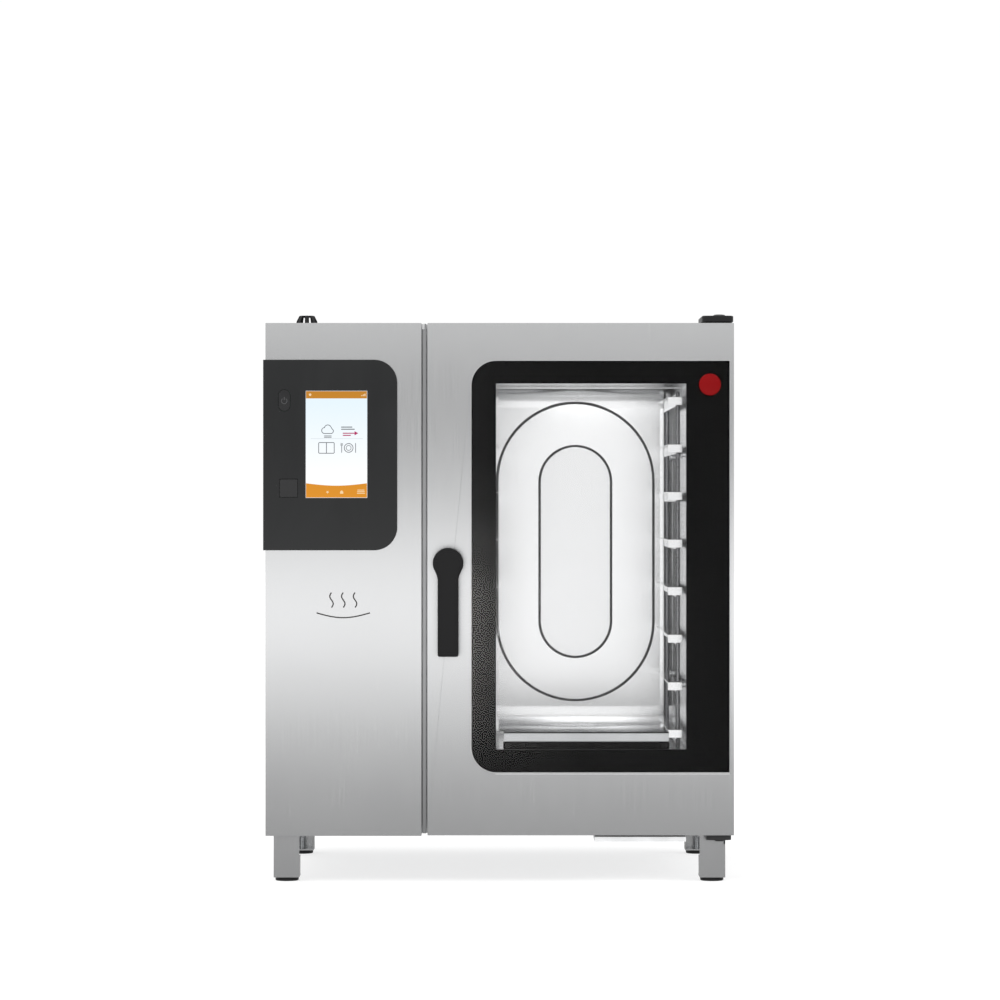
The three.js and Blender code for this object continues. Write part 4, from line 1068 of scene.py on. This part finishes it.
def strainer():
    low, high = span("drain_strainer")
    x, y, _ = middle_of("drain_strainer")
    outlines = [circle(x, y, (high.x - low.x) / 2, 72)]
    for ring, count in ((11, 6), (20, 12), (29, 18), (38, 24)):
        outlines += [hole(circle(u, v, 2.7, 10)) for u, v in circle(x, y, ring, count)]
    bm = plate(outlines, "top", low.z, high.z - 1, 0.7)
    lathe([(0, 0), (5, 0), (5, 0.6), (3, 1), (0, 1)], "z", (x, y, high.z - 1), 24, bm)
    piece("strainer_disc", bm, bright_floor, "drain_strainer")


def seal():
    """The door seal: a soft rounded profile in a narrow holder."""
    low, high = span("door_seal")
    width = 14.0
    outer = rounded(low.x, high.x, low.z, high.z, 14, 10)
    inner = rounded(low.x + width, high.x - width, low.z + width, high.z - width, 3, 6)
    bulb = plate([shifted(outer, 1.6), hole(shifted(inner, -1.6))], "front", low.y, high.y - 5, 3.6, 5)
    plate([outer, hole(inner)], "front", high.y - 4.6, high.y, 1.2, 3, bulb)
    piece("seal_profile", bulb, silicone, "door_seal")


# --- racks

OVERHANG = 14.0  # of the rails past the uprights
LEDGE, WEB, RAIL_SHEET, RAIL_COUNT, RAIL_PITCH = 16.0, 18.0, 1.5, 8, 90
STUD_ROOM = 8  # the least room beside the wall for end tabs and studs


def rail_outline(x, z, inward):
    """An angle rail seen from its end; x is the outer face of the web and z the top of the ledge."""
    bend = 2.6
    corner = (bend, -bend)
    line = [(0, -WEB), (RAIL_SHEET, -WEB)] + arc(*corner, bend - RAIL_SHEET, 180, 90, 4)
    line += [(LEDGE, -RAIL_SHEET), (LEDGE, 0)] + arc(*corner, bend, 90, 180, 6)
    placed = [(x + inward * u, z + v) for u, v in line]
    return placed if inward > 0 else placed[::-1]


def rack(node, body, inward):
    """Two uprights with eight angle rails; inward is the way the ledges point, +1 or -1 along X."""
    low, high = span(node)
    rod = 4.0
    x, tip, wall = low.x + rod, high.x, span("suction_panel")[1].x
    if inward < 0:
        x, tip, wall = high.x - rod, low.x, span("cavity_right_wall")[0].x
    room = abs(x - wall) - rod
    upright_y = (low.y + OVERHANG, high.y - OVERHANG)
    tall = high.z - low.z
    bar = [(0, 0), (rod - 0.8, 0), (rod, 0.8), (rod, tall - 2), (rod - 1.4, tall - 0.4), (0, tall)]
    rods, rails, studs = bmesh.new(), bmesh.new(), bmesh.new()
    for y in upright_y:
        lathe(bar, "z", (x, y, low.z), 24, rods)
    for z in (low.z + 8, high.z - 7):
        wire([(x, y, z) for y in upright_y], 3.0, 16, rods)
    piece(node + "_rods", rods, shaded_rod_steel, node, body=body)
    for level in range(RAIL_COUNT):
        z = high.z - 11 - RAIL_PITCH * level
        outline = rail_outline(x + inward * (rod - 0.5), z, inward)
        plate([outline], "front", low.y + 1.6, high.y, 0.25, 1, rails)
        if room > STUD_ROOM:
            left, right = sorted((tip, x - inward * 8))
            block((left, low.y, z - 15), (right, low.y + RAIL_SHEET, z), 0.5, 2, rails)
    piece(node + "_rails", rails, wire_steel, body=body)
    if room < STUD_ROOM:
        return
    reach = room - 1
    pin = [(0, 0), (4.5, 0), (4.5, reach - 2.5), (7, reach - 2.2), (7, reach - 0.4), (6.4, reach), (0, reach)]
    for y in upright_y:
        for z in (low.z + 120, high.z - 120):
            lathe(pin, "x" if inward > 0 else "-x", (wall, y, z), 24, studs)
    piece(node + "_studs", studs, screw_steel)


# --- hinges, legs, drip tray

def hinge_brackets():
    low, high = span("hinge_bracket_top")
    roof = span("top_panel")[1].z
    plate_low = high.z - 12
    outline = rectangle(low.x, high.x, low.y, high.y, low_left=12, low_right=12)
    bm = plate([outline], "top", plate_low, high.z, 2.0, 3)
    block((low.x + 1, low.y + 67, roof + 0.3), (high.x - 1, high.y - 1, plate_low + 1), 0.5, 2, bm)
    pin_x, pin_y = frame_pin()
    tall = plate_low - low.z + 1
    lathe([(0, 0), (5, 0), (6, 1), (6, tall), (0, tall)], "z", (pin_x, pin_y, low.z), 32, bm)
    lathe([(0, 0), (12, 0), (12, 1.4), (0, 1.4)], "z", (pin_x, pin_y, roof + 0.4), 32, bm)
    piece("upper_hinge_arm", bm, black, "hinge_bracket_top")
    cap = [(0, 0), (11, 0), (11, 1.4), (10, 2.4), (6, 3), (0, 3.1)]
    piece("upper_hinge_cap", lathe(cap, "z", (pin_x, pin_y, high.z - 0.2), 40), print_grey)
    sides, rows = (low.x + 17, high.x - 17), (high.y - 18, high.y - 50)
    screws("upper_hinge_screws", [(x, y, high.z - 0.3) for x in sides for y in rows], "z", 5.0)
    keep("hinge_bracket_bottom", painted_black, 0.8)


def frame_pin():
    """X and Y of the door's hinge axis, in millimetres."""
    joint = next(j for j in frame["joints"] if j["name"] == "door_swing")
    return [value / MM for value in joint["pos_m"][:2]]


def vent_cap():
    """An open crown: a base ring and upright ribs that slope in towards the top."""
    low, high = span("vent_cap")
    x, y, _ = middle_of("vent_cap")
    radius, tall, ribs = (high.x - low.x) / 2, high.z - low.z, 8
    base = radius - 7
    ring = [(base, 0), (radius - 0.5, 0), (radius, 0.6), (radius, 3), (radius - 1, 4), (base, 4), (base, 0)]
    bm = lathe(ring, "z", (x, y, low.z), 64)
    side = [(base, 2), (radius - 1, 2), (radius - 2.5, tall * 0.5), (radius - 7.5, tall - 0.6)]
    side += [(radius - 9, tall), (5, tall), (5, tall - 3), (radius - 9.5, tall - 4)]
    for i in range(ribs):
        before = set(bm.verts)
        plate([side], "side", -3.2, 3.2, 0.6, 2, bm)
        turn = Matrix.Translation((x, y, low.z)) @ Matrix.Rotation(2 * math.pi * i / ribs, 4, "Z")
        bmesh.ops.transform(bm, matrix=turn, verts=[vert for vert in bm.verts if vert not in before])
    piece("vent_cap_moulding", bm, black, "vent_cap")


def thread(radius, low, high, pitch, depth):
    """The outline of a threaded stretch, as (radius, height) points."""
    turns = max(1, round((high - low) / pitch))
    points = []
    for i in range(turns):
        start = low + (high - low) * i / turns
        points += [(radius - depth, start), (radius, start + pitch * 0.4), (radius, start + pitch * 0.55)]
    return points + [(radius - depth, high)]


def feet():
    for corner in ("front_left", "front_right", "rear_left", "rear_right"):
        body = "foot_" + "".join(word[0] for word in corner.split("_"))
        keep("leg_" + corner, steel, 0.9)
        low, high = span("foot_" + corner)
        x, y, _ = middle_of("foot_" + corner)
        radius, tall = (high.x - low.x) / 2, high.z - low.z
        pad = [(0, 0), (radius - 1.5, 0), (radius, 1.2), (radius, 4.6), (radius - 1.2, 6.2), (9, 7), (0, 7)]
        bm = lathe(pad, "z", (x, y, low.z), 56)
        piece("foot_pad_" + corner, bm, black, "foot_" + corner, body=body)
        spindle = lathe([(0, 6)] + thread(6, 6.5, tall - 0.6, 1.5, 0.7) + [(0, tall)], "z", (x, y, low.z), 24)
        piece("foot_spindle_" + corner, spindle, screw_steel, body=body)


def leg_nut_cover():
    """Closes the front right leg's notch, just behind the lower hinge's nut."""
    leg_low, leg_high = span("leg_front_right")
    top = span("hinge_bracket_bottom")[0].z + 2.6
    x, y = frame_pin()
    half, bottom, sheet, face = 13.8, 70.2, 3.0, leg_low.y + 1.4
    cover = block((x - half, face, bottom), (leg_high.x, leg_low.y + sheet, top), 0.1, 1)
    block((leg_high.x - sheet, face, bottom), (leg_high.x, y + half, top), 0.1, 1, cover)
    piece("leg_nut_cover", cover, steel)


def drip_tray():
    """A folded tray with a rolled front edge, on a hanger."""
    low, high = span("drip_tray")
    # The tray and its rolled edge take the light non-metal copy of steel: a painted sheen.
    keep("drip_tray", tray_steel_painted_sheen, 0.4)
    roll = wire([(x, low.y + 1.4, low.z + 7.4) for x in (low.x + 1.5, high.x - 1.5)], 1.4, 14)
    piece("drip_tray_rolled_edge", roll, tray_steel_painted_sheen)


def catch():
    keep("door_catch", machined, 0.8)
    low, high = span("door_catch")
    places = [(high.x - 6, high.y - 2.7, z) for z in (low.z + 10, high.z - 10)]
    screws("door_catch_screws", places, "-y", 3.2)


# --- rear and hidden parts

def rear_fittings():
    drain_outlet()
    water_inlet()
    cable_gland()
    louvres()
    low, high = span("rear_panel")
    y = high.y - 0.4
    places = [(x, y, z) for x in (low.x + 10, high.x - 10) for z in evenly(low.z + 25, high.z - 25, 6)]
    places += [(x, y, z) for x in evenly(low.x + 110, high.x - 110, 4) for z in (low.z + 12, high.z - 12)]
    screws("rear_panel_screws", places, "y", 3.6)


def drain_outlet():
    low, high = span("drain_pipe")
    radius, bend = (high.x - low.x) / 2, 30.0
    x, y, z = (low.x + high.x) / 2, low.y + radius, low.z + radius
    line = [(x, y, high.z), (x, y, z + bend + 20)]
    line += [(x, u, v) for u, v in arc(y + bend, z + bend, bend, 180, 270, 10)]
    line += [(x, high.y - 20, z)]
    piece("drain_bend", wire(line, radius - 0.6, 40), machined, "drain_pipe")
    lip = [(radius - 4, -14), (radius - 0.6, -14), (radius - 0.6, -5), (radius, -4), (radius, -0.6)]
    lip += [(radius - 0.6, 0), (radius - 2.2, 0), (radius - 3, -0.8), (radius - 4, -14)]
    piece("drain_outlet_lip", lathe(lip, "y", (x, high.y, z), 64), machined)


def water_inlet():
    low, high = span("water_inlet")
    x, _, z = middle_of("water_inlet")
    panel, radius, reach = span("rear_panel")[1].y, 13.0, high.y - low.y
    body = block((low.x, low.y, low.z), (high.x, low.y + 42, high.z), 3, 3)
    stub = [(0, 30), (radius - 1.5, 30)] + thread(radius, panel + 5 - low.y, reach - 0.6, 1.8, 1.1)
    stub += [(radius - 2.4, reach), (radius - 3.4, reach - 0.6), (radius - 3.4, reach - 9), (0, reach - 9)]
    lathe(stub, "y", (x, low.y, z), 48, body)
    lathe([(0, 0), (17.2, 0), (18, 0.6), (18, 4), (17.2, 4.7), (0, 4.7)], "y", (x, panel + 0.3, z), 6, body)
    piece("water_valve", body, brass, "water_inlet")


def cable_gland():
    low, high = span("cable_gland")
    x, _, z = middle_of("cable_gland")
    start, reach = span("rear_panel")[1].y - low.y, high.y - low.y
    bm = lathe([(0, 0)] + thread(11, 0.5, start, 1.6, 0.8) + [(0, start)], "y", (x, low.y, z), 40)
    flange = [(0, 0), (15.3, 0), (16, 0.6), (16, 6), (15.2, 7), (0, 7)]
    lathe([(r, start + h) for r, h in flange], "y", (x, low.y, z), 6, bm)
    nut = [(0, start + 7), (11, start + 7), (11, reach - 3), (9.6, reach - 0.6), (8, reach), (6, reach)]
    nut += [(5.4, reach - 0.8), (5.4, reach - 6), (0, reach - 6)]
    lathe(nut, "y", (x, low.y, z), 48, bm, star={1: 0.02, 2: 0.02})
    piece("gland_moulding", bm, black, "cable_gland")


def louvres():
    """Pressed hoods on the rear of the control column."""
    low, high = span("rear_panel")
    hood = [(0.8, 0), (1.2, 6.6), (2.9, 2.2), (3.0, 0), (3.8, 0)]
    hood += [(3.8, 2.0), (3.2, 5.5), (1.6, 8.4), (0, 9), (0, 0)]
    bm = bmesh.new()
    for x in (low.x + 75, low.x + 175):
        for z in evenly(low.z + 250, low.z + 430, 10):
            plate([[(high.y - 0.3 + u, z + v) for u, v in hood]], "side", x - 36, x + 36, 0.0, 1, bm)
    piece("rear_louvres", bm, steel)


def hidden_parts():
    keep("fan_motor", cast, 2.0, 3)
    keep("steam_boiler", machined, 1.5)
    keep("steam_pipe", machined, 0.0)
    keep("vent_pipe", machined, 0.0)
    keep("power_unit", unit_grey, 1.2)
    for node in ("insulation_rear", "insulation_top", "insulation_right"):
        keep(node, wool, 3.0, 3)


studio()
casing()
controls()
door()
handle()
chamber()
rack("rack_right", "rack_r", -1)
rack("rack_left", "rack_l", 1)
hinge_brackets()
vent_cap()
feet()
leg_nut_cover()
drip_tray()
catch()
rear_fittings()
hidden_parts()
door_glass = [frame["nodes"][node] for node in ("door_outer_glass", "door_glass_frit")]
lit_only(bpy.data.objects["front_card"], door_glass, "EXCLUDE")
lit_only(bpy.data.objects["glass_card"], door_glass, "INCLUDE")
